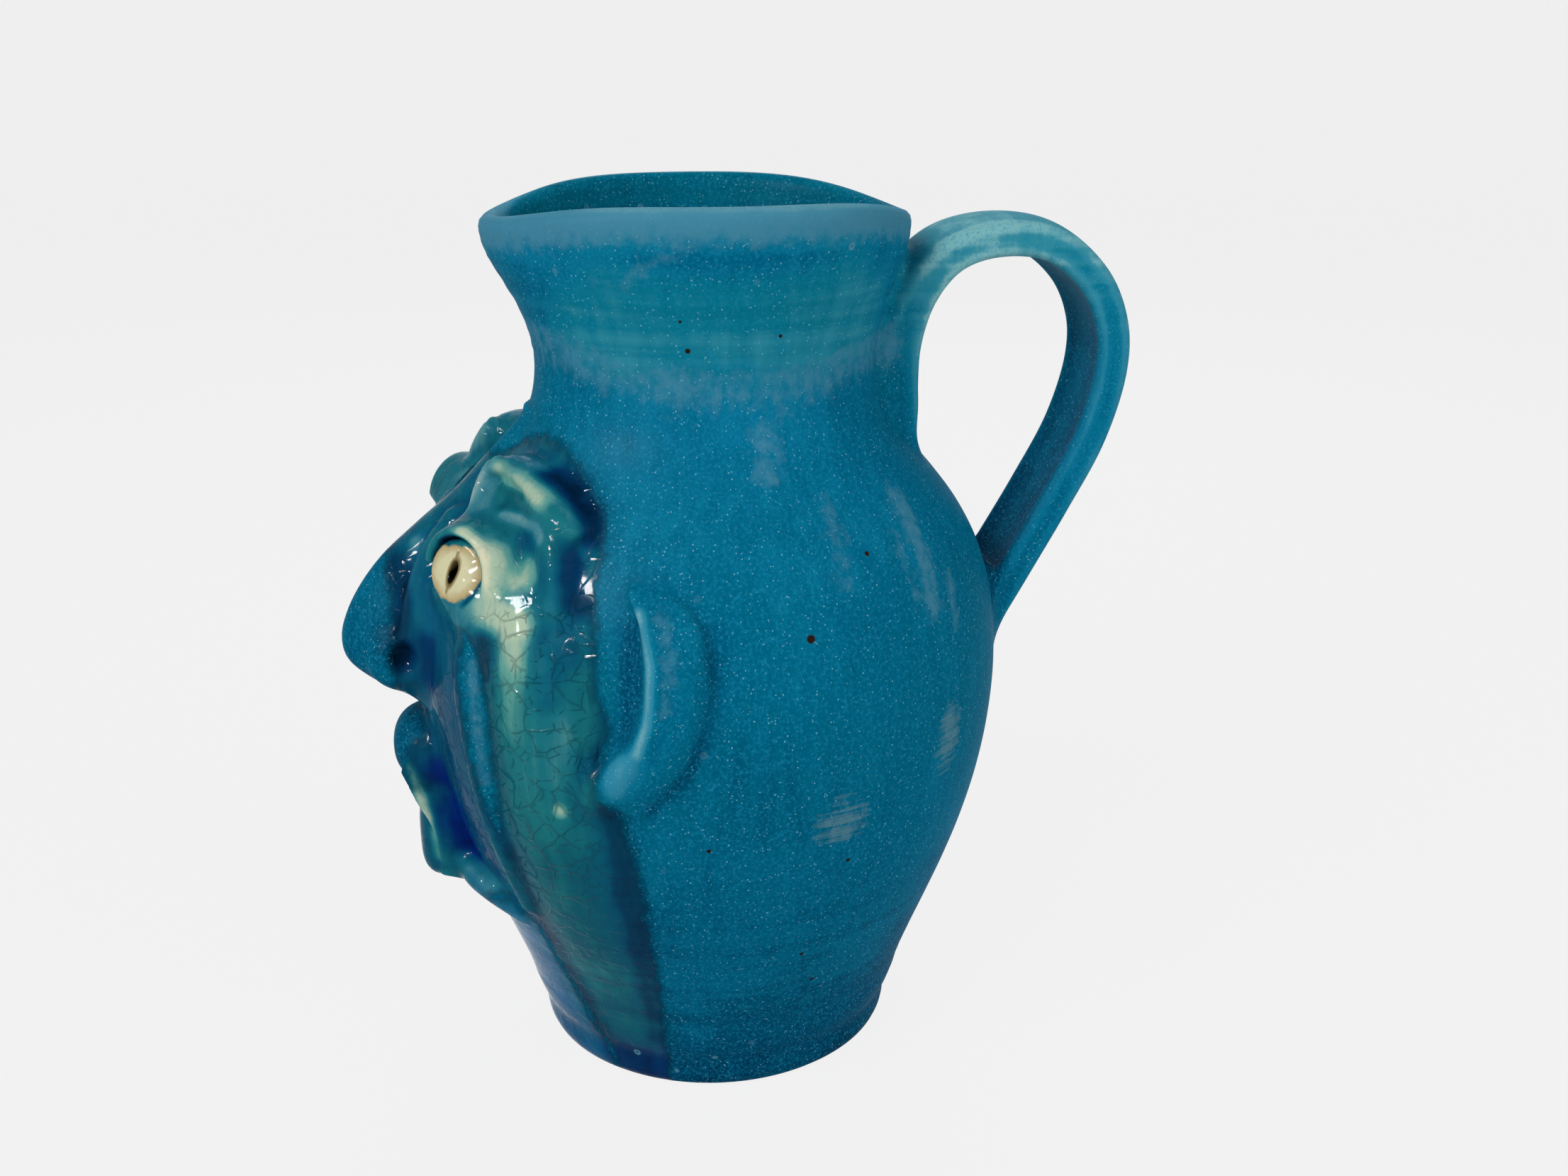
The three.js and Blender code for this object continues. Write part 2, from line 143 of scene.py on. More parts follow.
# uncoated paper: it has no shine at all, so it shows nothing but a soft shadow
dish_material, tree = new_material("matt_paper")
ray = add(tree, "ShaderNodeLightPath")
seen = ray.outputs["Is Camera Ray"]
for kind in ("Is Glossy Ray", "Is Transmission Ray"):
    seen = add(tree, "ShaderNodeMath", {0: seen, 1: ray.outputs[kind]}, 0, operation="MAXIMUM")
own_light = add(tree, "ShaderNodeMath", {0: seen, 1: own_share}, 0, operation="MULTIPLY")
matt = add(tree, "ShaderNodeBsdfDiffuse", {"Color": linear(paper)}, 0)
glow = add(tree, "ShaderNodeEmission", {"Color": linear(paper), "Strength": 1.0}, 0)
mixed = add(tree, "ShaderNodeMixShader", {0: own_light, 1: matt, 2: glow}, 0)
add(tree, "ShaderNodeOutputMaterial", {"Surface": mixed})
print("paper:", own_share, "of its light is its own")

# %% [markdown]
# The dish is a turned shape: a row of radius and height for the floor, a quarter circle and a low wall, each
# row swept round the axis. It is metres wide, so that even a low view sees only paper.

# %% Dish
floor_radius = 2.6
dish_height = 1.5
dish_sides = 96
turn_up, turn_steps = 0.6, 12

rows = [(0.0, 0.0), (floor_radius * 0.4, 0.0), (floor_radius, 0.0)]
for i in range(1, turn_steps + 1):
    angle = math.pi / 2 * i / turn_steps
    rows.append((floor_radius + turn_up * math.sin(angle), turn_up * (1 - math.cos(angle))))
rows.append((floor_radius + turn_up, dish_height))
dish_points = [
    (r * math.cos(2 * math.pi * j / dish_sides), r * math.sin(2 * math.pi * j / dish_sides), z)
    for r, z in rows for j in range(dish_sides)
]
dish_faces = [
    (i * dish_sides + j, i * dish_sides + (j + 1) % dish_sides,
     (i + 1) * dish_sides + (j + 1) % dish_sides, (i + 1) * dish_sides + j)
    for i in range(len(rows) - 1) for j in range(dish_sides)
]
dish_mesh = bpy.data.meshes.new("paper_dish")
dish_mesh.from_pydata(dish_points, [], dish_faces)
dish_mesh.shade_smooth()
dish_mesh.materials.append(dish_material)
dish = bpy.data.objects.new("paper_dish", dish_mesh)
bpy.context.scene.collection.objects.link(dish)
print("stage: a dish", 2 * (floor_radius + turn_up), "m across")

# %% [markdown]
# Light: one large soft lamp above and in front of the face, a weaker one on the handle's side, one behind
# for the rim, and a small lamp that only glossy surfaces see, for the white glints of wet-looking glaze.
# The grey world fills the shadows. Together they light a surface at about its own colour.

# %% Light
lamps = {
    "key_lamp": ((0.75, -0.75, 1.05), (0.9, 0.9), 12.0),
    "handle_lamp": ((0.75, 0.95, 0.7), (0.8, 0.8), 5.0),
    "back_lamp": ((-0.9, 0.25, 0.95), (0.8, 0.8), 4.6),
    "glint_lamp": ((0.40, -0.82, 0.74), (0.36, 0.09), 80.0),
}
aim = Vector((0, 0, 0.13))
room_light = 0.15
for name, (place, size, watts) in lamps.items():
    data = bpy.data.lights.new(name, "AREA")
    data.shape = "RECTANGLE"
    data.size, data.size_y = size
    data.energy = watts
    lamp = bpy.data.objects.new(name, data)
    lamp.location = place
    lamp.rotation_mode = "QUATERNION"
    lamp.rotation_quaternion = (aim - Vector(place)).to_track_quat("-Z", "Y")
    lamp.visible_diffuse = name != "glint_lamp"
    bpy.context.scene.collection.objects.link(lamp)

world = bpy.data.worlds.new("grey_room")
world.use_nodes = True
world.node_tree.nodes["Background"].inputs["Color"].default_value = linear(paper)
world.node_tree.nodes["Background"].inputs["Strength"].default_value = room_light
bpy.context.scene.world = world
print("light:", len(lamps), "lamps and a grey room")

# %% [markdown]
# The thrown body is a turned shape, so one line of radius and height says it all. The line is read from the
# frame: the solid's vertices that lie on its +X side, walked from the middle of the foot, up the outside,
# over the rim and down the inside. That way the glazed wall can't drift from the solid.

# %% Profile of the thrown body
def turned_profile(node):
    mesh = frame["nodes"][node].data
    places = [tuple(round(c / MM, 2) for c in vertex.co) for vertex in mesh.vertices]
    links = {}
    for edge in mesh.edges:
        a, b = (places[i] for i in edge.vertices)
        if a != b and max(abs(a[1]), abs(b[1])) < 0.02 and min(a[0], b[0]) > -0.02:
            links.setdefault(a, []).append(b)
            links.setdefault(b, []).append(a)
    walk = [min(links, key=lambda p: p[0] ** 2 + p[2] ** 2)]
    while onward := [p for p in links[walk[-1]] if p not in walk]:
        walk.append(onward[0])
    return np.array([(p[0], p[2]) for p in walk])


profile = turned_profile("thrown_body")
print("profile:", len(profile), "points")

# %% [markdown]
# Many pieces below follow a line of a few points: the wall, the nose, each coil and the strap. A Bezier
# curve would need handles, so one function puts a smooth line through the points themselves and cuts it into
# even steps.

# %% Smooth wall
def smooth_line(points, count):
    """A smooth line through the points, at even steps. Extra columns, such as widths, come along."""
    p = np.asarray(points, float)
    t = np.r_[0, np.cumsum(np.sqrt(np.linalg.norm(np.diff(p[:, :3], axis=0), axis=1)))]
    slope = np.gradient(p, t, axis=0)
    where = np.linspace(0, t[-1], 30 * len(p))
    i = np.clip(np.searchsorted(t, where, side="right") - 1, 0, len(p) - 2)
    gap = (t[i + 1] - t[i])[:, None]
    u = (where - t[i])[:, None] / gap
    fine = ((1 + 2 * u) * (1 - u) ** 2 * p[i] + u * u * (3 - 2 * u) * p[i + 1]
            + u * (1 - u) ** 2 * gap * slope[i] - u * u * (1 - u) * gap * slope[i + 1])
    run = np.r_[0, np.cumsum(np.linalg.norm(np.diff(fine[:, :3], axis=0), axis=1))]
    even = np.linspace(0, run[-1], count)
    return np.column_stack([np.interp(even, run, column) for column in fine.T])


wall_line = smooth_line(profile[1:-1], 330)
top_row = int(np.argmax(wall_line[:, 1]))
outside_line = wall_line[:top_row]
rim_height = wall_line[top_row, 1]
belly_row = int(np.argmax(outside_line[:, 0]))
neck_row = belly_row + int(np.argmin(outside_line[belly_row:top_row - 10, 0]))
neck_height = outside_line[neck_row, 1]


def wall_radius(height):
    return np.interp(height, outside_line[:, 1], outside_line[:, 0])


print("wall: belly", round(outside_line[belly_row, 0], 1), "mm, neck", round(outside_line[neck_row, 0], 1),
      "mm at", round(neck_height, 1), "mm")

# %% [markdown]
# The potter pulled the rim out with a finger to make the pouring lip, and the rim sinks a little at the
# front and the back. Both amounts are measured on the solid's rim and then spread smoothly.

# %% Pouring lip and rim
rim_corners = np.array([v.co for v in frame["nodes"]["thrown_body"].data.vertices]) / MM
rim_corners = rim_corners[rim_corners[:, 2] > neck_height + 0.7 * (rim_height - neck_height)]
lip_pull = -rim_corners[:, 1].min() - rim_corners[:, 0].max()
middle_corners = rim_corners[np.abs(rim_corners[:, 0]) < 1]
rim_dip = rim_height - middle_corners[:, 2].max()
lip_half_angle = math.radians(24)


def smooth_step(value, low, high):
    share = np.clip((value - low) / (high - low), 0, 1)
    return share * share * (3 - 2 * share)


def pulled_lip(radius, height, azimuth):
    lift = smooth_step(height, neck_height, rim_height)
    pull = lip_pull * lift * np.exp(-(azimuth / lip_half_angle) ** 2)
    reach = radius + pull * np.minimum(radius / 10, 1)
    return reach, height - rim_dip * lift * lift * np.cos(azimuth) ** 4


print("rim: lip pulled", round(lip_pull, 1), "mm, dip", round(rim_dip, 1), "mm")

# %% [markdown]
# The face is soft clay, with no hard line where a coil meets the wall: the slip fills the corner. A field
# of distances makes that easy. Each lump says how far every point of a fine lattice is from its skin, and
# where two distances are nearly equal they melt into a fillet. The mesh is then the skin where the field is
# zero. Only the left half is worked out, because the face is a pair of mirrored halves.

# %% Lattice of the face
grain = 0.5
axes = [np.arange(low, high, grain, dtype=np.float32) for low, high in ((0, 100), (-112, -10), (38, 196))]
# a field's value where nothing is near, and how far a field reaches beyond the skin of its form
FAR = 30.0
margin = 9


def window(low, high):
    """The box of the lattice between two corners, and its coordinates."""
    part = tuple(
        slice(max(int(np.searchsorted(a, l)) - 1, 0), min(int(np.searchsorted(a, h)) + 1, len(a)))
        for a, l, h in zip(axes, low, high))
    x, y, z = (a[s] for a, s in zip(axes, part))
    return part, x[:, None, None], y[None, :, None], z[None, None, :]


def within(inner, outer):
    """Where one box of the lattice lies in another one."""
    return tuple(slice(i.start - o.start, i.stop - o.start) for i, o in zip(inner, outer))


def dot(a, b):
    return a[0] * b[0] + a[1] * b[1] + a[2] * b[2]


def melt(a, b, soft):
    """The nearer of two distances, with the corner between them filled over a width of soft."""
    near = np.maximum(soft - np.abs(a - b), 0) / soft
    return np.minimum(a, b) - near * near * soft / 4


def on_wall(azimuth_deg, height, standoff):
    """A place on the wall: degrees round from the nose, height, and distance off the wall."""
    radius = wall_radius(height) + standoff
    azimuth = np.radians(azimuth_deg)
    return np.array([radius * np.sin(azimuth), -radius * np.cos(azimuth), height])


heights = axes[2].astype(float)
wall_slope = np.gradient(wall_radius(heights), heights)
across = np.sqrt(axes[0][:, None] ** 2 + axes[1][None, :] ** 2)
lean = 1 / np.sqrt(1 + wall_slope ** 2)
wall = ((across[:, :, None] - wall_radius(heights)[None, None, :]) * lean[None, None, :]).astype(np.float32)
print("lattice:", wall.shape, "points", grain, "mm apart")

# %% [markdown]
# Two forms make nearly all of the face. The first is a coil: rolled clay laid along a line on the wall, with
# an oval section that may change on the way. A curve has no simple distance of its own, so the coil is the
# nearest of many short straight stretches.

# %% Coil
def coil(rows, pieces=26):
    """rows: azimuth in degrees, height, standoff from the wall, half width along it, half height off it."""
    places = [np.r_[on_wall(a, z, off), wide, tall] for a, z, off, wide, tall in rows]
    return coil_through(smooth_line(places, pieces + 1))


def coil_through(line):
    """A coil through points in space, with its half width and half height in two more columns."""
    reach = line[:, 3:].max() + margin
    part, *_ = window(line[:, :3].min(0) - reach, line[:, :3].max(0) + reach)
    field = np.full([s.stop - s.start for s in part], FAR, np.float32)
    for a, b in zip(line, line[1:]):
        span = np.minimum(a[:3], b[:3]) - reach, np.maximum(a[:3], b[:3]) + reach
        near, x, y, z = window(*span)
        inner = within(near, part)
        along = b[:3] - a[:3]
        out = np.array([a[0] + b[0], a[1] + b[1], 0.0])
        side = np.cross(along, out)
        side /= np.linalg.norm(side)
        out = np.cross(side, along)
        out /= np.linalg.norm(out)
        d = [x - a[0], y - a[1], z - a[2]]
        t = np.clip(dot(d, along) / (along @ along), 0, 1)
        d = [d[k] - t * along[k] for k in range(3)]
        wide = a[3] + t * (b[3] - a[3])
        tall = a[4] + t * (b[4] - a[4])
        u = dot(d, side) / wide
        v = dot(d, out) / tall
        along /= np.linalg.norm(along)
        round_end = np.minimum(wide, tall)
        w = dot(d, along) / round_end
        k = np.sqrt(u * u + v * v + w * w)
        steep = np.sqrt((u / wide) ** 2 + (v / tall) ** 2 + (w / round_end) ** 2)
        distance = k * (k - 1) / np.maximum(steep, 1e-4)
        field[inner] = np.minimum(field[inner], distance)
    return part, field


print("coil: an oval section along a smooth line")

# %% [markdown]
# The second form is a lump, an egg or a pillow. Its distance is only true near the skin, and that is where
# the mesh is made, so a quick formula will do.

# %% Lump
def lump(centre, half, side=(1, 0, 0), out=(0, -1, 0), power=2.0):
    """half sizes along side, out and the third direction; power above 2 squares the pillow off."""
    basis = np.array([side, out, np.cross(out, side)], float)
    basis /= np.linalg.norm(basis, axis=1)[:, None]
    reach = np.abs(basis.T) @ np.asarray(half, float) + margin
    part, x, y, z = window(centre - reach, centre + reach)
    d = [x - centre[0], y - centre[1], z - centre[2]]
    q = [np.abs(dot(d, b)) / h for b, h in zip(basis, half)]
    k = np.maximum(sum(s ** power for s in q), 1e-6) ** (1 / power)
    steep = np.sqrt(sum((s ** (power - 1) / h) ** 2 for s, h in zip(q, half))) * k ** (1 - power)
    return part, ((k - 1) / np.maximum(steep, 1e-4)).astype(np.float32)


print("lump: an egg, or a pillow at a higher power")

# %% [markdown]
# A piece may need two forms, or a hollow pressed into one. Boolean cuts on meshes would leave hard edges.
# Two fields just melt into each other, and a hollow is the same with the signs turned round.

# %% Join and hollow
def join(first, second, soft):
    """Two fields of one piece as one, melted together."""
    part = tuple(slice(min(a.start, b.start), max(a.stop, b.stop)) for a, b in zip(first[0], second[0]))
    whole = []
    for own, field in (first, second):
        grown = np.full([s.stop - s.start for s in part], FAR, np.float32)
        grown[within(own, part)] = field
        whole.append(grown)
    return part, melt(whole[0], whole[1], soft)


def hollow(first, second, soft):
    """The first field with the second one pressed into it."""
    part, field = join((first[0], -first[1]), second, soft)
    return first[0], -field[within(first[0], part)]


# each piece of the face: its box of the lattice, its field and how softly it melts into the rest
clay = {}
print("joins: melted over a soft width")

# %% [markdown]
# The nose is a big hooked wedge. Its side view gives how far each height reaches from the jug's axis, and a
# second column gives half its width there. A soft strip lies along each side of it, behind a crease, and a
# nostril is pressed in under each wing.

# %% Nose
nose_rows = np.array([
    (190, 50.0, 4.5), (180, 60.5, 6.0), (169, 71.5, 8.5), (159, 83.5, 10.0), (151, 92.5, 11.0),
    (143, 99.0, 12.5), (135, 103.5, 14.5), (128, 105.6, 16.0), (122, 104.8, 16.2), (117, 100.0, 15.5),
    (112, 91.0, 14.0), (107, 82.0, 12.0),
])
nose_line = smooth_line(nose_rows, 60)[::-1]
part, x, y, z = window((0, -112, 98), (30, -44, 192))
front = np.interp(z, nose_line[:, 0], nose_line[:, 1])
half_width = np.interp(z, nose_line[:, 0], nose_line[:, 2])
root = wall_radius(z) - 4
depth = np.maximum(front - root, 0.5)
u, v = x / half_width, (-y - root) / depth
k = np.sqrt(u * u + v * v)
steep = np.sqrt((u / half_width) ** 2 + (v / depth) ** 2)
wedge = np.maximum(0.85 * k * (k - 1) / np.maximum(steep, 1e-4), nose_rows[-1, 0] - z)
nose = (part, wedge.astype(np.float32))
side_strip = coil_through(smooth_line([
    (10.0, -71.0, 162.0, 4.6, 4.6), (12.0, -76.5, 153.0, 5.6, 5.8), (13.6, -80.5, 141.0, 6.2, 6.6),
    (13.6, -83.5, 129.0, 6.0, 6.2),
], 14))
wing = lump(np.array([12.0, -89.0, 123.5]), (6.5, 8.5, 8.0))
nostril = lump(np.array([19.6, -88.2, 126.0]), (5.6, 3.8, 4.8))
nose = join(nose, side_strip, 1.2)
nose = join(nose, wing, 4.0)
clay["nose"] = (*hollow(nose, nostril, 3.0), 5.0)
print("nose: reaches", nose_rows[:, 1].max(), "mm from the axis")

# %% [markdown]
# The lips. The upper one is a plain fat lump. The lower one is squarer, with the chin's flat underside, and
# a thin ridge runs down its corner where the clay was pinched.

# %% Lips
clay["upper_lip"] = (*lump(np.array([0.0, -82.3, 93.6]), (16.0, 11.4, 10.6), power=2.3), 4.0)
chin = lump(np.array([0.0, -76.8, 66.5]), (14.6, 11.2, 13.2), power=3.6)
pinched = [
    (11.6, -86.2, 91.0, 1.3, 5.6), (13.0, -82.6, 82.0, 1.4, 5.6), (13.9, -79.6, 76.5, 1.4, 5.6),
    (14.4, -77.6, 70.0, 1.4, 5.6), (14.3, -76.6, 63.0, 1.4, 5.6), (12.8, -77.4, 56.5, 1.3, 5.0),
]
lip_edge = coil_through(smooth_line(pinched, 17))
ledge = coil([
    (9.0, 59, 2.5, 4.6, 4.4), (16.0, 59, 2.0, 4.6, 4.4), (23.0, 57.5, 0.6, 4.2, 4.0),
    (30.0, 54, -1.2, 3.4, 3.2),
], 12)
clay["lower_lip"] = (*join(join(chin, lip_edge, 2.0), ledge, 4.0), 3.0)
print("lips: upper and lower")

# %% [markdown]
# Each eye is a short rod of clay that leans out of the wall. Its end is slightly domed, a pupil is pushed
# into it, and a soft bag of clay holds it from below. It is easiest in the rod's own coordinates: to its
# side, to its top and along its axis.

# %% Eye rods
eye_azimuth, eye_height, eye_reach = 28.0, 155.6, 9.0
eye_splay, eye_tilt = math.radians(50), math.radians(15)
eye_radius, eye_dome = 8.9, 1.3
rod_edge, rod_length, dome_sink = 1.4, 24, 0.6
# half sizes of the hole to the side, to the top and along the rod
pupil_half = (1.35, 3.1, 4.2)

eye_axis = np.array([
    math.sin(eye_splay) * math.cos(eye_tilt), -math.cos(eye_splay) * math.cos(eye_tilt), math.sin(eye_tilt)])
eye_side = np.cross(eye_axis, (0, 0, -1.0))
eye_side /= np.linalg.norm(eye_side)
eye_top = np.cross(eye_axis, eye_side)
eye_end = on_wall(eye_azimuth, eye_height, 0) + eye_axis * eye_reach


def eye_coordinates(x, y, z):
    d = (x - eye_end[0], y - eye_end[1], z - eye_end[2])
    return [dot(d, e) for e in (eye_side, eye_top, eye_axis)]


def rounded_corner(a, b, radius):
    """Distance to where two slabs overlap, with a rounded edge between them."""
    return (np.sqrt(np.maximum(a + radius, 0) ** 2 + np.maximum(b + radius, 0) ** 2)
            + np.minimum(np.maximum(a, b) + radius, 0) - radius)


part, x, y, z = window(eye_end - 34, eye_end + 24)
side, top, depth = eye_coordinates(x, y, z)
away = np.sqrt(side ** 2 + top ** 2)
sag = smooth_step(-top, -2, 8)
swell = eye_radius + np.maximum(-depth - 1.2, 0) * (0.1 + 0.8 * sag)
dome = eye_dome * (1 - (away / eye_radius) ** 2)
rod = rounded_corner(away - swell, depth + dome_sink - dome, rod_edge)
hole = (side, top, depth - eye_dome + dome_sink)
pupil = np.sqrt(sum((d / half) ** 2 for d, half in zip(hole, pupil_half)))
rod = np.maximum(rod, (1 - pupil) * 1.3)
rod = np.maximum(rod, -rod_length - depth).astype(np.float32)
bag = lump(on_wall(33.5, 147.5, 1.5), (8.0, 6.5, 8.5), (0.83, 0.55, 0), (0.55, -0.83, 0))
clay["eye_stub"] = (*join((part, rod), bag, 6.0), 4.0)
print("eyes: rods", 2 * eye_radius, "mm across")

# %% [markdown]
# The lid is a slab bent round the rod, with a crisp free edge in front that melts into the wall behind. The
# angle round the rod, from its top towards the outer side, says how far forward the edge comes and how fast
# the slab thickens behind it.

# %% Eye lids
lid_thickness = 2.3
lid_from, lid_to = math.radians(-85), math.radians(124)

angle = np.arctan2(side, top)
share = np.clip((angle - lid_from) / (lid_to - lid_from), 0, 1)
lid_front = 2.2 - 2.4 * share ** 5 - 3.6 * (1 - share) ** 3
flare = 0.42 + 0.75 * smooth_step(angle, 0.3, 1.5)
thick = lid_thickness + flare * np.maximum(lid_front - depth, 0)
lid_inside = eye_radius + 0.4 + 1.4 * smooth_step(share, 0.75, 1.0)
shell = np.abs(away - (lid_inside + thick / 2)) - thick / 2
ends = np.maximum(lid_from - angle, angle - lid_to) * np.maximum(away, 3)
lid = rounded_corner(rounded_corner(shell, depth - lid_front, 0.9), ends, 1.0)
lid = np.maximum(lid, -15 - depth)
lid_soft = 0.35 + 4.0 * smooth_step(-depth, 3.5, 11)
clay["eye_lid"] = (part, lid.astype(np.float32), lid_soft.astype(np.float32))
print("lids:", lid_thickness, "mm at the edge")

# %% [markdown]
# Over the lid lies a thin fold, and over the fold the brow, a heavy horseshoe that starts beside the nose,
# arches over the eye and curls in at its outer corner.

# %% Folds and brows
lid_ridge = coil([
    (25.5, 166.0, 0.0, 2.0, 2.8), (28.0, 168.8, 1.0, 2.6, 3.8), (32.0, 171.0, 1.2, 2.8, 4.2),
    (36.5, 171.6, 1.2, 2.8, 4.2), (41.0, 170.4, 1.2, 2.9, 4.2), (44.5, 167.4, 0.8, 2.9, 4.0),
    (47.5, 162.6, 0.0, 2.8, 3.6), (49.0, 158.0, -1.0, 2.4, 2.8),
])
groove = coil([
    (30.0, 168.0, -1.6, 3.4, 4.0), (37.0, 168.0, -1.6, 3.8, 4.0), (42.0, 165.0, -1.6, 3.8, 4.0),
    (45.0, 160.0, -1.8, 3.8, 4.0), (46.5, 154.0, -2.0, 3.8, 4.0),
])
clay["lid_fold"] = (*join(lid_ridge, groove, 3.0), 4.0)
brow_crest = coil([
    (26.0, 163.0, 0.0, 2.2, 3.2), (23.6, 168.5, 2.2, 2.5, 4.8), (21.4, 174.0, 3.2, 2.7, 5.6),
    (20.8, 179.6, 3.6, 2.8, 5.8), (24.6, 181.4, 3.6, 2.8, 5.8), (31.0, 181.2, 3.4, 2.8, 5.8),
    (36.6, 179.8, 3.4, 2.8, 5.8), (41.4, 177.6, 3.2, 2.8, 5.8), (46.0, 175.2, 3.0, 2.8, 5.7),
    (50.4, 172.8, 2.6, 2.6, 5.4), (53.4, 171.0, 1.8, 2.3, 4.6),
], 34)
brow_slope = coil([
    (28.0, 165.5, -1.2, 4.2, 5.2), (26.0, 170.0, -1.0, 4.6, 5.6), (27.5, 174.0, -1.4, 4.8, 5.8),
    (33.5, 175.2, -1.6, 4.8, 5.8), (39.5, 173.6, -1.2, 4.8, 6.0), (44.5, 171.2, -0.4, 5.2, 6.4),
    (48.6, 167.0, 0.0, 5.0, 6.4), (50.4, 160.5, -1.0, 4.6, 5.8), (51.0, 153.0, -1.8, 4.0, 4.8),
], 34)
clay["brow"] = (*join(brow_crest, brow_slope, 5.0), 3.0)
print("brows: horseshoes over", len(clay), "pieces so far")

# %% [markdown]
# The cheek is a long pad under the eye, with a small bead of clay at its back edge. In front of it a fold
# runs from beside the nose down past the mouth and thins out to nothing at the chin.

# %% Cheeks and folds
pad = coil([
    (40.5, 150, -2.0, 8.0, 7.0), (44.5, 140, -2.0, 10.6, 7.6), (48.5, 128, -1.8, 12.6, 7.8),
    (50.0, 115, -2.0, 12.8, 7.6), (50.6, 100, -2.5, 12.8, 7.2), (51.2, 85, -3.4, 12.6, 6.8),
    (52.0, 70, -5.0, 12.0, 6.6), (52.4, 60, -6.6, 11.6, 6.6), (52.8, 49, -10.0, 11.0, 6.6),
    (53.0, 39, -14.5, 10.0, 6.6),
])
bead_place = on_wall(60.2, 107.5, 0.4)
bead_out = bead_place * (1, 1, 0)
bead = lump(bead_place, (3.4, 3.4, 4.6), np.cross((0, 0, 1), bead_out), bead_out)
clay["cheek_fold"] = (*coil([
    (30.0, 141, -2.0, 3.4, 3.0), (33.0, 133, -0.6, 5.8, 5.6), (35.0, 122, -0.2, 6.2, 6.0),
    (36.0, 108, -0.2, 5.4, 5.6), (36.6, 94, -0.2, 4.4, 5.0), (37.2, 79, -0.4, 3.4, 4.0),
    (37.4, 62, -0.8, 2.2, 2.2),
]), 5.5)
clay["cheek"] = (*join(pad, bead, 2.5), 7.5)
print("cheeks: pad, bead and fold")

# %% [markdown]
# The ear is a flap: its free front edge stands up from the wall, its back slopes down to it, and the lobe
# curls forward at the bottom. A slim coil makes the edge, a broad one makes the slope, and they melt
# together.

# %% Ears
ear_edge = coil([
    (67.6, 158.0, 0.0, 1.2, 2.4), (70.8, 152, 2.0, 1.3, 3.8), (72.4, 142, 2.6, 1.3, 4.4),
    (72.2, 132, 2.6, 1.3, 4.4), (70.4, 124, 2.4, 1.8, 4.4), (66.6, 115, 2.0, 3.8, 4.0),
    (63.8, 109, 0.8, 3.8, 3.4),
])
ear_slope = coil([
    (71.6, 155.0, -1.0, 4.5, 3.2), (75.0, 150, -0.2, 7.4, 5.4), (76.0, 141, 0.2, 8.4, 6.4),
    (75.6, 132, 0.2, 8.4, 6.4), (73.6, 122, 0.2, 8.0, 6.0), (69.8, 112.5, -0.5, 6.8, 5.2),
    (67.0, 105.5, -1.0, 4.8, 3.2),
])
clay["ear"] = (*join(ear_edge, ear_slope, 4.0), 2.6)
print("ears:", len(clay), "kinds of piece in all")

# %% [markdown]
# Now the pieces are pressed on the wall one after another. The skin of the whole face is one melted field,
# and each piece takes its own share of it: the part that is nearer to it than to any other piece. Pieces
# overlap their neighbours by half a millimetre and dip just under the wall where their fillet runs out, so
# no gap and no step shows in the glaze.

# %% Press the pieces on
skin_field = wall.copy()
for part, field, soft in clay.values():
    skin_field[part] = melt(skin_field[part], field, soft)

overlap, dip_under, root_depth = 0.5, 0.05, 2.5


def share_of(name):
    part, field, soft = clay[name]
    other = np.full(field.shape, FAR, np.float32)
    for rival, (their_part, theirs, _) in clay.items():
        if rival == name:
            continue
        both = [slice(max(a.start, b.start), min(a.stop, b.stop)) for a, b in zip(part, their_part)]
        if all(s.stop > s.start for s in both):
            mine = within(both, part)
            other[mine] = np.minimum(other[mine], theirs[within(both, their_part)])
    limits = [(field - other) / 2 - overlap, field - np.max(soft) - 0.5, -wall[part] - root_depth]
    return part, np.maximum.reduce([skin_field[part] + dip_under, *limits])


print("pressed on:", ", ".join(clay))

# %% [markdown]
# Surface nets turn a field into a mesh: one point in each lattice cell that the skin passes through, one
# face across each lattice edge that it cuts. Marching cubes would do as well, but many of its faces are
# slivers. These are even squares, which shade more smoothly.

# %% Surface net
def net(field, corner):
    """One point in each cell that the skin crosses, and one face round each edge that it cuts."""
    inside = field < 0
    cells = [n - 1 for n in field.shape]
    count = np.zeros(cells, np.uint8)
    for i, j, k in np.ndindex(2, 2, 2):
        count += inside[i:i + cells[0], j:j + cells[1], k:k + cells[2]]
    crossed = (count > 0) & (count < 8)
    number = np.full(cells, -1, np.int64)
    number[crossed] = np.arange(np.count_nonzero(crossed))
    cell = np.argwhere(crossed)
    place, hits = np.zeros(cell.shape), np.zeros(len(cell))
    faces = []
    for axis in range(3):
        u, v = (axis + 1) % 3, (axis + 2) % 3
        step = np.eye(3, dtype=int)
        for i, j in np.ndindex(2, 2):
            start = cell + i * step[u] + j * step[v]
            a, b = field[tuple(start.T)], field[tuple((start + step[axis]).T)]
            cut = (a < 0) != (b < 0)
            place[cut] += (i * step[u] + j * step[v]
                           + (a[cut] / (a[cut] - b[cut]))[:, None] * step[axis])
            hits += cut
        low = [slice(1, -1)] * 3
        low[axis], high = slice(0, -1), list(low)
        high[axis] = slice(1, None)
        flip = inside[tuple(low)] != inside[tuple(high)]
        edge = np.argwhere(flip) + (1 - step[axis])
        around = [edge - i * step[u] - j * step[v] for i, j in ((1, 1), (0, 1), (0, 0), (1, 0))]
        four = np.stack([number[tuple(cells_at.T)] for cells_at in around], 1)
        outward = inside[tuple(edge.T)]
        faces.append(np.where(outward[:, None], four, four[:, ::-1]))
    return corner + grain * (cell + place / hits[:, None]), np.vstack(faces)


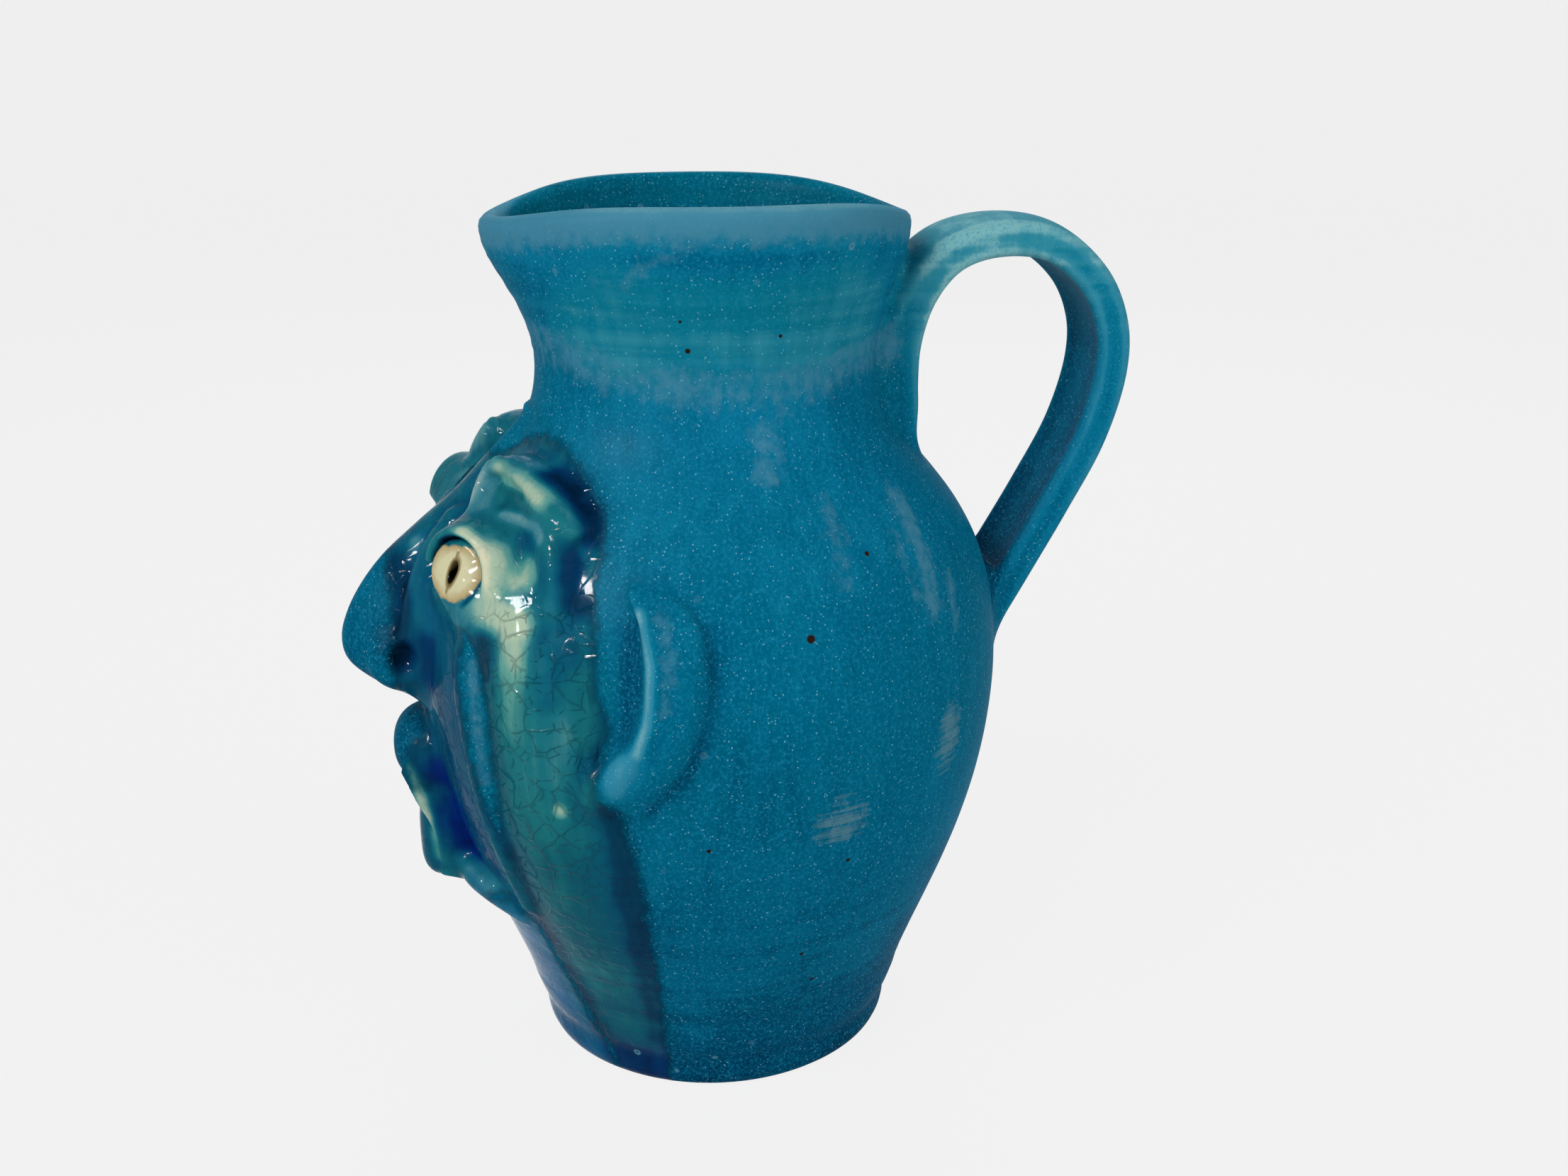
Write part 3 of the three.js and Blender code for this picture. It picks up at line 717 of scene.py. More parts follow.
print("net: one point per cell,", grain, "mm apart")

# %% [markdown]
# The points of a net sit unevenly, which would show in glints. So each is moved towards the middle of its
# neighbours, and then back to the skin along the field's slope.

# %% Even out
def sample(field, corner, points):
    """The field's value at any points, between the lattice's own."""
    place = (points - corner) / grain
    base = np.clip(np.floor(place).astype(int), 0, np.array(field.shape) - 2)
    share = np.clip(place - base, 0, 1)
    total = np.zeros(len(points))
    for i, j, k in np.ndindex(2, 2, 2):
        weight = np.abs(1 - i - share[:, 0]) * np.abs(1 - j - share[:, 1]) * np.abs(1 - k - share[:, 2])
        total += weight * field[base[:, 0] + i, base[:, 1] + j, base[:, 2] + k]
    return total


def even_out(points, faces, field, corner, rounds=3):
    """Points moved towards the middle of their neighbours and back to the skin, a few times."""
    pairs = np.vstack([faces[:, [i, (i + 1) % 4]] for i in range(4)])
    degree = np.bincount(pairs.ravel(), minlength=len(points))
    for _ in range(rounds):
        mean = np.stack([
            np.bincount(pairs[:, 0], points[pairs[:, 1], k], len(points))
            + np.bincount(pairs[:, 1], points[pairs[:, 0], k], len(points)) for k in range(3)], 1)
        points = 0.4 * points + 0.6 * mean / degree[:, None]
        value = sample(field, corner, points)
        steps = grain * np.eye(3)
        rises = [sample(field, corner, points + e) - sample(field, corner, points - e) for e in steps]
        slope = np.stack(rises, 1) / (2 * grain)
        length = np.maximum((slope ** 2).sum(1), 0.25)
        points = points - np.clip(value / length, -grain, grain)[:, None] * slope
    return points


print("even out: towards the neighbours, back to the skin")

# %% [markdown]
# Every piece of the face gets its mesh. Nose and lips lie across the middle, so their half field is mirrored
# before the net is made, and no seam runs down the face. The others are made once and copied as a mirror
# image.

# %% Meshes of the face
def mesh_of(field, corner, middle):
    """A mesh of the zero skin. A middle piece is half a field, which is mirrored first."""
    corner = np.array(corner, float)
    if middle:
        corner[0] = -grain * (len(field) - 1)
        field = np.concatenate([field[:0:-1], field])
    field = np.pad(field, 1, constant_values=1.0)
    points, faces = net(field, corner - grain)
    return even_out(points, faces, field, corner - grain), faces


shapes = {}
for name in clay:
    part, field = share_of(name)
    middle = name in ("nose", "upper_lip", "lower_lip")
    points, faces = mesh_of(field, [a[s.start] for a, s in zip(axes, part)], middle)
    if middle:
        shapes[name] = (points, faces)
    else:
        shapes["left_" + name] = (points, faces)
        shapes["right_" + name] = (points * (-1, 1, 1), faces[:, ::-1])
    print("mesh:", name, len(faces), "faces")

# %% [markdown]
# The strap handle was pulled from a lump of clay and pressed on the neck and the belly with a thumb. It
# follows a line in the jug's middle plane, so for each point of that plane it is enough to know how far away
# the line is, how far along it, and on which side.

# %% Line of the strap
_, handle_high = np.array(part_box("handle")) / MM
strap_half_width = handle_high[0]
strap_half_thick = 4.9
crown = 1.7
strap_top = handle_high[2] - strap_half_thick - crown
strap_back = handle_high[1] - strap_half_thick - crown - 0.8
strap_rows = smooth_line([
    (54.0, 170), (53.8, 184), (52.4, 196), (53.2, 208), (58.5, 221.5), (67.5, 231.2), (80.0, strap_top),
    (96.0, 233.4), (108.6, 223.2), (114.4, 210.5), (strap_back, 198), (109.8, 179), (99.6, 159),
    (88.8, 140), (79.6, 124), (73.6, 113),
], 130)
handle_axes = [np.arange(low, high, grain) for low, high in ((0, 24), (26, 127), (92, 252))]
hx, hy, hz = np.meshgrid(*handle_axes, indexing="ij", sparse=True)
near = np.full((1, len(handle_axes[1]), len(handle_axes[2])), 1e6)
along = np.zeros_like(near)
rise = np.zeros_like(near)
for i, (a, b) in enumerate(zip(strap_rows, strap_rows[1:])):
    step = b - a
    t = np.clip(((hy - a[0]) * step[0] + (hz - a[1]) * step[1]) / (step @ step), 0, 1)
    dy, dz = hy - a[0] - t * step[0], hz - a[1] - t * step[1]
    distance = np.sqrt(dy * dy + dz * dz)
    closer = distance < near
    near = np.where(closer, distance, near)
    along = np.where(closer, (i + t) / (len(strap_rows) - 1), along)
    rise = np.where(closer, np.sign(step[0] * dz - step[1] * dy) * distance, rise)
print("strap: line of", len(strap_rows), "points")

# %% [markdown]
# Across the line the strap is wide and thin, with rounded edges and a crown on its outer face. It gets
# thicker under the rim and thinner where it ends, and it melts into the wall at both ends, as the face does.

# %% Strap handle
strap_edge, strap_soft = 2.6, 7.0
root_flare = 0.05
top_taper, low_taper = 0.55, 0.45
# under the rim: how much thicker, at which share of the way, and over how much of it
rim_swell, swell_at, swell_spread = 1.4, 0.13, 0.09
neck_lean = 0.93
below_rim = 4

half_width = strap_half_width * (1 + root_flare * smooth_step(along, 0.72, 0.98))
arch = crown * np.clip(1 - (hx / half_width) ** 2, 0, 1)
taper = 1 - low_taper * smooth_step(along, 0.9, 1.0) - top_taper * smooth_step(-along, -0.1, 0.0)
thick = strap_half_thick * taper + rim_swell * np.exp(-((along - swell_at) / swell_spread) ** 2)
beyond = np.maximum(near - np.abs(rise), 0)
flat = rounded_corner(hx - half_width, np.abs(rise - arch) - thick, strap_edge)
strap = np.sqrt(np.maximum(flat, 0) ** 2 + beyond ** 2) + np.minimum(flat, 0)
azimuth = np.arctan2(hx, -hy)
lift = smooth_step(hz, neck_height, rim_height)
sunk = hz + rim_dip * lift * lift * np.cos(azimuth) ** 4
behind = (np.sqrt(hx ** 2 + hy ** 2) - wall_radius(np.minimum(sunk, rim_height - 6))) * neck_lean
# the strap must not melt into the rim itself, so the wall ends for it a little lower
behind = np.where(hz > rim_height - rim_dip - below_rim, np.maximum(behind, 0.5), behind)
handle_skin = melt(strap, behind, strap_soft)
handle_field = np.maximum.reduce([handle_skin + dip_under, strap - strap_soft - 0.5, -behind - root_depth])
handle_corner = [a[0] for a in handle_axes]
shapes["handle"] = mesh_of(handle_field.astype(np.float32), handle_corner, True)
print("handle:", len(shapes["handle"][1]), "faces, top", round(shapes["handle"][0][:, 2].max(), 1), "mm")

# %% [markdown]
# The body's own mesh is a grid: columns round the axis, rows along the profile, and a disc each for the
# foot and the floor inside. Shallow throwing rings from the potter's fingers show on the neck and under the
# belly.

# %% Thrown body
columns = 520
ring_depth = 0.14


def throwing_rings(height):
    """Uneven waves about 5 mm apart, on the neck and low on the belly, with none at the foot and the rim."""
    wave = np.sin(height * 1.15 + 1.7 * np.sin(height * 0.21)) * (0.6 + 0.4 * np.sin(height * 0.37))
    clear = np.maximum(smooth_step(height, 198, 212), smooth_step(-height, -40, -14))
    return ring_depth * wave * clear * smooth_step(height, 4, 10) * smooth_step(-height, -246, -240)


radius_row, height_row = wall_line.T
radius_row = radius_row + throwing_rings(height_row)
discs = np.array([(r, 0.0) for r in np.linspace(0.15, 0.97, 8) * radius_row[0]])
floor = np.array([(r, height_row[-1]) for r in np.linspace(0.97, 0.15, 8) * radius_row[-1]])
rows = np.vstack([discs, np.column_stack([radius_row, height_row]), floor])
turn = np.linspace(0, 2 * np.pi, columns, endpoint=False)
reach, height = pulled_lip(rows[:, :1], rows[:, 1:], (turn[None, :] + np.pi) % (2 * np.pi) - np.pi)
height = np.broadcast_to(height, reach.shape)
body_points = np.stack([reach * np.sin(turn), -reach * np.cos(turn), height], 2).reshape(-1, 3)
i, j = np.meshgrid(np.arange(len(rows) - 1), np.arange(columns), indexing="ij")
nextj = (j + 1) % columns
corners = [i * columns + j, i * columns + nextj, (i + 1) * columns + nextj, (i + 1) * columns + j]
body_faces = np.stack(corners, 2).reshape(-1, 4).tolist()
body_faces.append(list(range(columns))[::-1])
body_faces.append([(len(rows) - 1) * columns + k for k in range(columns)])
shapes["thrown_body"] = (body_points, body_faces)
print("thrown body:", len(body_faces), "faces")

# %% [markdown]
# How a glaze looks depends on how thick it lies. It runs off edges, where it is thin and pale, and pools in
# hollows, where it is deep and dark. The bend of the skin tells which: a blurred copy of the field, minus
# the field itself, is positive on an edge and negative in a hollow.

# %% Edges and hollows
blur_passes = 3


def blurred(field, passes):
    out = field.astype(np.float32)
    for _ in range(passes):
        for axis in range(3):
            edge = np.pad(out, [(1, 1) if k == axis else (0, 0) for k in range(3)],
                          mode="reflect" if axis == 0 else "edge")
            front, back = [slice(None)] * 3, [slice(None)] * 3
            front[axis], back[axis] = slice(2, None), slice(0, -2)
            out = 0.5 * out + 0.25 * (edge[tuple(front)] + edge[tuple(back)])
    return out


def bend_of(field):
    coarse = field[::2, ::2, ::2]
    return blurred(coarse, blur_passes) - coarse


def sample_bend(bend, corner, points):
    """The bend at any points, with both halves of the face read from the left one, and none outside."""
    folded = np.abs(points) * (1, 0, 0) + points * (0, 1, 1)
    low = np.array(corner) + 2
    high = np.array(corner) + 2 * grain * (np.array(bend.shape) - 2) - 1
    inside = ((folded > low) | (np.arange(3) == 0)).all(1) & (folded < high).all(1)
    value = np.zeros(len(points))
    place = np.array(corner) + (folded[inside] - corner) / 2
    value[inside] = sample(bend, np.array(corner), place)
    return value


face_corner = [a[0] for a in axes]
face_bend = bend_of(skin_field)
handle_bend = bend_of(handle_skin)
print("bend of the face in mm:", [round(float(end), 2) for end in (face_bend.min(), face_bend.max())])

# %% [markdown]
# The face was brushed with a second, glossier glaze, which ran down below the cheek, and the front below
# the chin got it too. Both outlines are drawn on the unrolled wall, in degrees round from the nose and
# millimetres up. Between them a narrow satin seam is left. Inside of the first, three places stay satin:
# the front of the nose, the upper lip, and a band along each cheek fold.

# %% Where the glossy glaze lies
glossy_outline = np.array([
    (-9, 178), (6, 179.5), (14, 185), (26, 188), (38, 186.5), (48, 181), (56.5, 173.5), (59, 165),
    (58.5, 158), (60.5, 150), (61.5, 134), (64, 125), (62, 117), (62, 109), (65, 100), (67, 88),
    (67.7, 75), (67.7, 59), (68, 40), (67, 20), (66.5, -3), (50, -3), (48.8, 5), (45.2, 16), (41.6, 30),
    (39, 42), (38, 54), (30, 60), (25, 58), (17, 50), (-9, 49),
], float)
front_outline = np.array([
    (-9, 48), (17, 49), (25, 57), (30, 59), (36.2, 53), (36.8, 42), (39.2, 30), (42.6, 16), (46.4, 5),
    (47.6, -3), (-9, -3),
], float)
mm_per_degree = 1.35
print("glossy zones:", len(glossy_outline), "and", len(front_outline), "corners")

# %% [markdown]
# A point's distance to an outline, with a sign for inside, is worth more than a plain yes or no. The shader
# can then make the edge ragged, draw a line along it and keep it sharp between two vertices.

# %% Distance into the glossy zone
def segment_distance(points, a, b):
    step = b - a
    t = np.clip((points - a) @ step / max(step @ step, 1e-6), 0, 1)
    return np.linalg.norm(points - a - t[:, None] * step, axis=1)


def outline_distance(azimuth_deg, height, outline):
    """How far inside the outline each point lies, in mm on the unrolled wall. Outside is negative."""
    unrolled = np.column_stack([azimuth_deg * mm_per_degree, height])
    corners = outline * (mm_per_degree, 1)
    nearest = np.full(len(unrolled), 1e6)
    inside = np.zeros(len(unrolled), bool)
    for a, b in zip(corners, np.roll(corners, -1, 0)):
        nearest = np.minimum(nearest, segment_distance(unrolled, a, b))
        crosses = (a[1] > height) != (b[1] > height)
        with np.errstate(divide="ignore", invalid="ignore"):
            meets = a[0] + (height - a[1]) / (b[1] - a[1]) * (b[0] - a[0])
        inside ^= crosses & (unrolled[:, 0] < meets)
    return np.where(inside, nearest, -nearest)


# the crest of the cheek fold: height, azimuth, half width of the satin band
fold_ridge = np.array([
    (84, 39.4, 0.0), (94, 39.0, 1.2), (102, 38.8, 2.4), (113, 38.6, 3.2), (123, 38.2, 3.6),
    (132, 36.4, 3.6), (138, 35.2, 3.0), (144, 34.0, 1.5),
])

# satin in the middle of the face: how far in front of the axis it begins, and between which heights
satin_nose = (90.5, 113, 162)
satin_lip, satin_lip_half = (84.5, 85, 106), 13.5


def glossy_distance(points):
    """How far inside the glossy zone each point lies, in mm. In the satin it is negative."""
    x, y, z = np.abs(points[:, 0]), points[:, 1], points[:, 2]
    azimuth = np.degrees(np.arctan2(x, -y))
    outlines = (glossy_outline, front_outline)
    zone = np.maximum.reduce([outline_distance(azimuth, z, outline) for outline in outlines])
    nose_front, lip_front = (
        np.minimum.reduce([-front - y, z - low, high - z]) for front, low, high in (satin_nose, satin_lip))
    lip_front = np.minimum(lip_front, satin_lip_half - x)
    ridge = np.interp(z, fold_ridge[:, 0], fold_ridge[:, 1])
    half = np.interp(z, fold_ridge[:, 0], fold_ridge[:, 2])
    fold = np.minimum(half - np.abs(azimuth - ridge) * mm_per_degree, np.minimum(z - 82, 144 - z))
    return np.minimum.reduce([zone, -nose_front, -lip_front, -fold])


print("satin inside the zone: nose, upper lip and a band of", len(fold_ridge), "places on each cheek fold")

# %% [markdown]
# Next, everything that the glaze shader needs to know is stored on the vertices. An image could hold it too,
# but numbers on the vertices need no unwrapping and stay with the clay. It begins with how thick the glaze
# lies and how much of it is cobalt. Both are laid on in strokes: broad ones for the slow changes round the
# body, and over them a fine one for each place on the face. A few fine strokes also hold painted shade or a
# painted highlight.

# %% Strokes on the face
# each stroke: a line of places (azimuth in degrees, height, standoff), spread in mm, depth, share of cobalt
strokes = {
    "lid, front edge": (
        [(31, 167.6, 13.5), (35.2, 164.8, 11), (37.2, 160, 8.7), (39.5, 155.5, 7)], 2.2, 0.03, 0.0),
    "lid, body": ([(38, 163, 8), (41, 159, 5), (44, 160.5, 4)], 3.6, 0.13, 0.0),
    "lid, top": ([(33, 169.2, 7.6), (36.4, 168.1, 5.2)], 2.0, 0.50, 0.2),
    "groove behind the lid": (
        [(43, 168, 4), (47.5, 165.5, 3.4), (50, 161, 3), (52, 157, 2.4)], 2.2, 0.66, 0.45),
    "fold over the lid": (
        [(33.2, 171.4, 5.1), (39, 171.7, 6), (44.6, 171.1, 6.8), (46.4, 169, 7.2)], 1.5, 0.28, 0.5),
    "fold, dark line": ([(31.3, 172.8, 5.7), (38, 173.7, 5.9), (42, 173.2, 6.2)], 1.1, 0.70, 0.2),
    "brow, flat by the nose": ([(21.9, 178, 8.8), (25, 172, 6.5)], 3.0, 0.32, 0.5),
    "brow, front edge": ([(20.5, 180, 8.6), (21.6, 174, 8.6), (24.3, 166, 6)], 1.0, 0.22, 0.5),
    "brow, cream crest": (
        [(25, 180.5, 8.5), (29.4, 179, 7), (36, 179.3, 8.5), (45, 177.6, 9.4)], 2.5, 0.20, 0.0),
    # dark green under the overhanging crest: deeper glaze in the hollow, and painted shade
    "brow, olive band in painted shade": ([(27, 176.6, 5.8), (36.7, 176, 5.9)], 1.1, 0.62, 0.0),
    "brow, hollow in painted shade": ([(28.3, 174.8, 5.5), (36.9, 175, 5.9), (43.3, 173.5, 6.8)], 1.5, 0.52, 0.0),
    "brow, outer face": ([(47.5, 176, 9), (51.6, 172, 8), (50.7, 168.5, 6.7)], 3.0, 0.54, 0.1),
    "brow, outer crest": ([(47.5, 178, 9), (53, 174, 7)], 1.2, 0.40, 0.4),
    "brow, back": ([(25.3, 184.4, 7), (33, 184.5, 5), (37, 183, 5)], 1.8, 0.42, 0.6),
    # at the brow's outer end the cobalt pools deep, and painted shade darkens it further where the brow
    # meets the wall
    "pool and painted shade behind the brow": (
        [(40.5, 182, 4), (46, 179.3, 2), (53.5, 174.2, 0.8), (54.5, 171, 1)], 3.2, 1.06, 0.3),
    "brow, outer end": ([(52.2, 167, 4.8), (53.6, 163, 1.8), (53.4, 160.5, 2)], 2.6, 0.98, 0.3),
    "pool and painted shade below the brow": ([(54.8, 155.5, 0), (57.5, 154.5, 0)], 2.6, 0.97, 0.15),
    "bag under the eye": ([(38.5, 151, 7), (46, 149.7, 5)], 3.4, 0.07, 0.0),
    "rod, under": ([(22, 149, 6), (32, 146, 6), (35.5, 150, 8)], 4.0, 0.48, 0.4),
    "rod, end": ([(23, 162, 12), (30, 166, 11)], 4.0, 0.62, 0.1),
    "nose, front": ([(0, 155, 18), (0, 130, 26)], 10.0, 0.64, 0.45),
    "nose, side strip": ([(6, 156, 6), (10.5, 147, 4), (14.9, 137.5, 1)], 3.0, 0.50, 0.8),
    "nose, crease": ([(4.5, 151, 11), (10.6, 141.5, 7.2), (10, 132, 8)], 2.8, 0.97, 0.1),
    # a painted highlight on the rounded top of the side strip
    "nose, painted highlight on the shoulder": ([(4.5, 156, 8), (6.5, 154, 5.5)], 1.8, 0.25, 0.5),
    "nose, bridge": ([(8, 173, 2), (10, 166, 2)], 4.0, 0.64, 0.45),
    # deep glaze in the nostril, darkened further with painted shade, and painted shade under the nose
    "nostril": ([(9.2, 127, 7.7)], 3.6, 0.99, 0.3),
    "painted shade under the nose": ([(14, 130, 1.7), (15, 120.5, 0)], 3.5, 0.88, 0.4),
    "beside the mouth": ([(19, 122, 0), (20, 108, 0), (19, 97, 0)], 5.0, 0.78, 0.3),
    "trough by the mouth": ([(12, 90, 2), (15, 84, 0), (13, 76, 3), (13.5, 69, 0)], 4.0, 0.84, 1.0),
    "trough, floor": ([(17, 82, 0), (17.5, 69, 0)], 3.6, 0.86, 1.0),
    "trough, outer side": ([(23, 92, 0), (25, 78, 0), (26, 70, 0)], 4.5, 0.80, 0.5),
    "ledge under the mouth": ([(13, 62.5, 4.4), (20, 62.5, 2.5), (26, 60, 1)], 2.2, 0.44, 0.45),
    "lip, pinched edge": (
        [(8.5, 92, 9), (9.6, 86, 8.4), (10.2, 76.8, 9), (9.8, 68, 10), (9.5, 63, 10.4)], 1.3, 0.16, 0.1),
    "upper lip": ([(0, 100, 14), (6, 96, 10)], 7.0, 0.78, 0.3),
    "chin": ([(3, 72, 12), (6, 62, 12)], 5.0, 0.68, 0.05),
    "chin, underside": ([(11, 57, 7)], 5.0, 0.54, 0.1),
    "fold by the mouth": ([(36.4, 134, 4), (38.2, 122, 4), (38.7, 105, 3.9)], 3.0, 0.58, 0.3),
    "fold by the mouth, low": ([(38.4, 95, 3.9), (39.2, 85, 3.2)], 2.4, 0.60, 0.5),
    "fold, inner flank": ([(31, 131, 4), (32.5, 112, 3), (33.5, 92, 2), (32, 78, 1)], 3.0, 0.80, 0.35),
    "cheek, thin top": ([(46, 147, 5), (47, 140, 5.7)], 3.4, 0.18, 0.0),
    "cheek, thin streak": ([(47.4, 136.3, 5.9), (48, 124, 5.5)], 4.2, 0.36, 0.0),
    "cheek, crease": ([(39.5, 141.5, 4), (40, 135, 4)], 2.6, 0.90, 0.0),
    "cheek, front": ([(42.5, 130, 4), (43, 112, 4), (43.5, 95, 3)], 3.0, 0.68, 0.0),
    "cheek, blue patch": ([(52.7, 143, 2.6), (52.5, 132, 4.5)], 3.0, 0.58, 0.4),
    "cheek": ([(47, 126, 6), (50, 112, 5), (48, 96, 3)], 9.0, 0.43, 0.05),
    "cheek, green flank": ([(60, 136, 0), (59.6, 124, 1.4)], 3.6, 0.40, 0.0),
    "cheek, outer edge": ([(56, 124, 4), (54, 114, 5)], 4.0, 0.36, 0.25),
    "cheek, bald spot": ([(55.5, 102, 5)], 1.8, 0.04, 0.0),
    "behind the cheek": ([(61, 140, 0), (62, 126, 0)], 4.5, 0.62, 0.2),
    "bead": ([(62.5, 109, 4)], 3.0, 0.44, 0.05),
    "ear, front edge": (
        [(69.6, 155, 4.6), (72, 144, 7.2), (71.8, 130, 6.9), (70, 122, 6.5)], 1.3, 0.14, 0.4),
    "ear, lobe": ([(67.5, 118, 7), (65.5, 112, 5)], 3.6, 0.22, 0.6),
    # painted shade in the hollow under the ear's front edge
    "ear, painted shade under its front edge": ([(67.0, 150, 1), (68.0, 138, 2), (66.5, 124, 2)], 2.4, 0.76, 0.6),
    "ear, groove behind": (
        [(82, 150, 0), (83, 140, 0), (81.5, 128, 0), (77, 117, 0), (71, 105, 0)], 2.4, 0.70, 0.6),
    "run, middle": ([(51, 90, 4), (51, 62, 2), (52, 40, 0), (54, 24, 0)], 10.0, 0.57, 0.0),
    "run, low": ([(53, 8, 0), (57, 3, 0)], 6.0, 0.92, 0.3),
    "run, front edge": ([(40.5, 84, 1), (41, 58, 0), (43, 30, 0), (47.5, 14, 0)], 3.0, 0.86, 0.0),
    "run, back edge": ([(64, 103, 1), (65, 88, 0), (65.5, 60, 0), (65, 20, 0)], 3.0, 0.86, 0.1),
}
print("fine strokes:", len(strokes))

# %% [markdown]
# The satin glaze of the body changes slowly: darker towards the foot, paler up the belly, thin and green on
# the neck, blue below the rim. A point takes the mean of the strokes that reach it, weighted by how near
# they are, with the broad ones as a base that any fine stroke can cover.

# %% Broad strokes
# azimuth, height, spread, depth, share of cobalt
broad_strokes = [
    (110, 2, 14, 0.86, 0.5), (110, 22, 16, 0.76, 0.5), (110, 50, 20, 0.66, 0.5),
    (105, 85, 22, 0.58, 0.55), (105, 120, 22, 0.56, 0.5), (105, 150, 18, 0.54, 0.5),
    (90, 170, 14, 0.52, 0.5), (90, 186, 9, 0.50, 0.55), (90, 196, 6, 0.46, 0.6), (90, 206, 5, 0.42, 0.3),
    (90, 217, 7, 0.32, 0.05), (90, 228, 5, 0.40, 0.1), (90, 237, 4, 0.58, 0.6), (90, 246, 5, 0.40, 0.3),
    # pale low on the front below the chin, 22 to 30 degrees round: partly a painted reflection, the pale
    # sheen of a grazing view
    (22, 46, 6, 0.20, 0.9), (27, 36, 8, 0.34, 1.0), (30, 22, 7, 0.30, 1.0), (30, 4, 8, 0.52, 1.0),
    (5, 28, 20, 0.45, 0.9), (45, 115, 30, 0.62, 0.1), (40, 165, 12, 0.52, 0.3), (10, 120, 25, 0.70, 0.6),
]
broad_weight = 0.25
broad_mm_per_degree = 0.35


def line_distance(points, line):
    """Distance from each point to a line of places on the wall, or to a single place."""
    places = [on_wall(*place) for place in line]
    return np.minimum.reduce([segment_distance(points, a, b) for a, b in zip(places, places[1:] or places)])


def brushed(points, azimuth):
    """Depth and share of cobalt at each point: the mean of the strokes that reach it."""
    folded = np.column_stack([np.abs(points[:, 0]), points[:, 1:]])
    total = np.full((len(points), 1), 0.0001)
    laid = total * (0.5, 0.5)
    for around, height, spread, deep, cobalt in broad_strokes:
        away = ((azimuth - around) * broad_mm_per_degree) ** 2 + (points[:, 2] - height) ** 2
        share = np.exp(-away / spread ** 2)[:, None]
        total, laid = total + share, laid + share * (deep, cobalt)
    total, laid = broad_weight, broad_weight * laid / total
    for line, spread, deep, cobalt in strokes.values():
        share = np.exp(-(line_distance(folded, line) / spread) ** 2)[:, None]
        total, laid = total + share, laid + share * (deep, cobalt)
    return (laid / total).T


print("broad strokes:", len(broad_strokes))

# %% [markdown]
# Then the marks that the kiln and the years left. Frost is a haze of pale crystals along the rim, round the
# neck and in a few smears. Scuffs are places where the satin was rubbed dry. Pinholes opened where gas came
# through: near the rim, at the foot, behind the ear and along the back edge of the run. Each is a soft spot
# or band on the unrolled wall, so that a few plain numbers put it where it belongs.

# %% Frost, scuffs and pinholes
# hazes of pale crystals away from the rim: places (azimuth, height, standoff), spread in mm, strength
hazes = [
    ([(57, 230, 0), (66, 235, 0), (83, 244.5, 0)], 2.2, 0.50), ([(52, 231, 0), (60, 230, 0)], 3.0, 0.35),
    ([(134, 173, 0), (132, 160, 0), (130, 147, 0)], 5.0, 0.66),
    ([(127, 166, 0), (125.5, 149, 0)], 3.0, 0.42),
    ([(138, 152, 0), (136, 140, 0)], 3.0, 0.50), ([(112, 176, 0), (110, 158, 0)], 4.0, 0.40),
    ([(99, 193, 0), (98, 183, 0)], 5.0, 0.60), ([(36.4, 136, 4), (38.2, 122, 4), (38.8, 104, 4)], 2.6, 0.55),
    ([(73.5, 152, 4), (75, 143, 6), (74.5, 134, 6)], 4.0, 0.50),
]
# the haze round the neck: azimuth, height of its middle
haze_band = np.array([(0, 214), (29, 213), (60, 207), (80, 205), (105, 205), (135, 209), (180, 210)], float)
haze_band_strength = 0.50
rim_frost_from, rim_frost_to = 236, 248
# azimuth, height, half width and half height
scuffs = ((106.5, 96, 13, 12), (132, 110, 9, 17))
pits_by_ear = (83, 138, 4, 22)
pits_by_run = 71
pits_by_rim, pits_reach = 237, 4


def spot(azimuth, height, around, up, wide, tall):
    """A soft oval on the unrolled wall, one in its middle."""
    return np.exp(-(((azimuth - around) * mm_per_degree / wide) ** 2) - ((height - up) / tall) ** 2)


def frost_at(points, azimuth, rim_sink):
    z = points[:, 2]
    middle = np.interp(azimuth, haze_band[:, 0], haze_band[:, 1])
    neck = haze_band_strength * smooth_step(middle - z, -7, -2) * smooth_step(z - middle, -14, -2)
    frost = np.maximum(smooth_step(z + rim_sink, rim_frost_from, rim_frost_to), neck)
    for line, spread, strength in hazes:
        frost = np.maximum(frost, strength * np.exp(-(line_distance(points, line) / spread) ** 2))
    return frost


def scuffs_and_pits(x, z, azimuth):
    dry = sum(spot(azimuth, z, *place) for place in scuffs) * (x > 0)
    by_rim = 0.9 * np.exp(-((z - pits_by_rim) / pits_reach) ** 2)
    at_foot = smooth_step(-z, -22, -6)
    by_run = spot(azimuth, 0, pits_by_run, 0, 3, 1) * smooth_step(-z, -90, -70)
    return dry, np.maximum.reduce([by_rim, at_foot, spot(azimuth, z, *pits_by_ear), by_run])


print("marks:", len(hazes), "hazes and", len(scuffs), "scuffs")

# %% [markdown]
# The end of the eye got a dab of ivory slip, worn at its edge, and a black pupil: a round hole with a slit
# through it. Both are stored as distances to their edge, in the rod's own coordinates, because a distance
# stays sharp between two vertices where a painted value would blur. Where the lid lies over the rod, a dark
# line of glaze sits in the slot between them.

# %% Slip and pupil
not_here = -9.0
slot_width = 0.6
slip_radius, slip_stretch = 7.4, 0.8
pupil_radius, pupil_stretch = 1.45, 0.46
slit_lean, slit_half_height = 0.16, 5.4


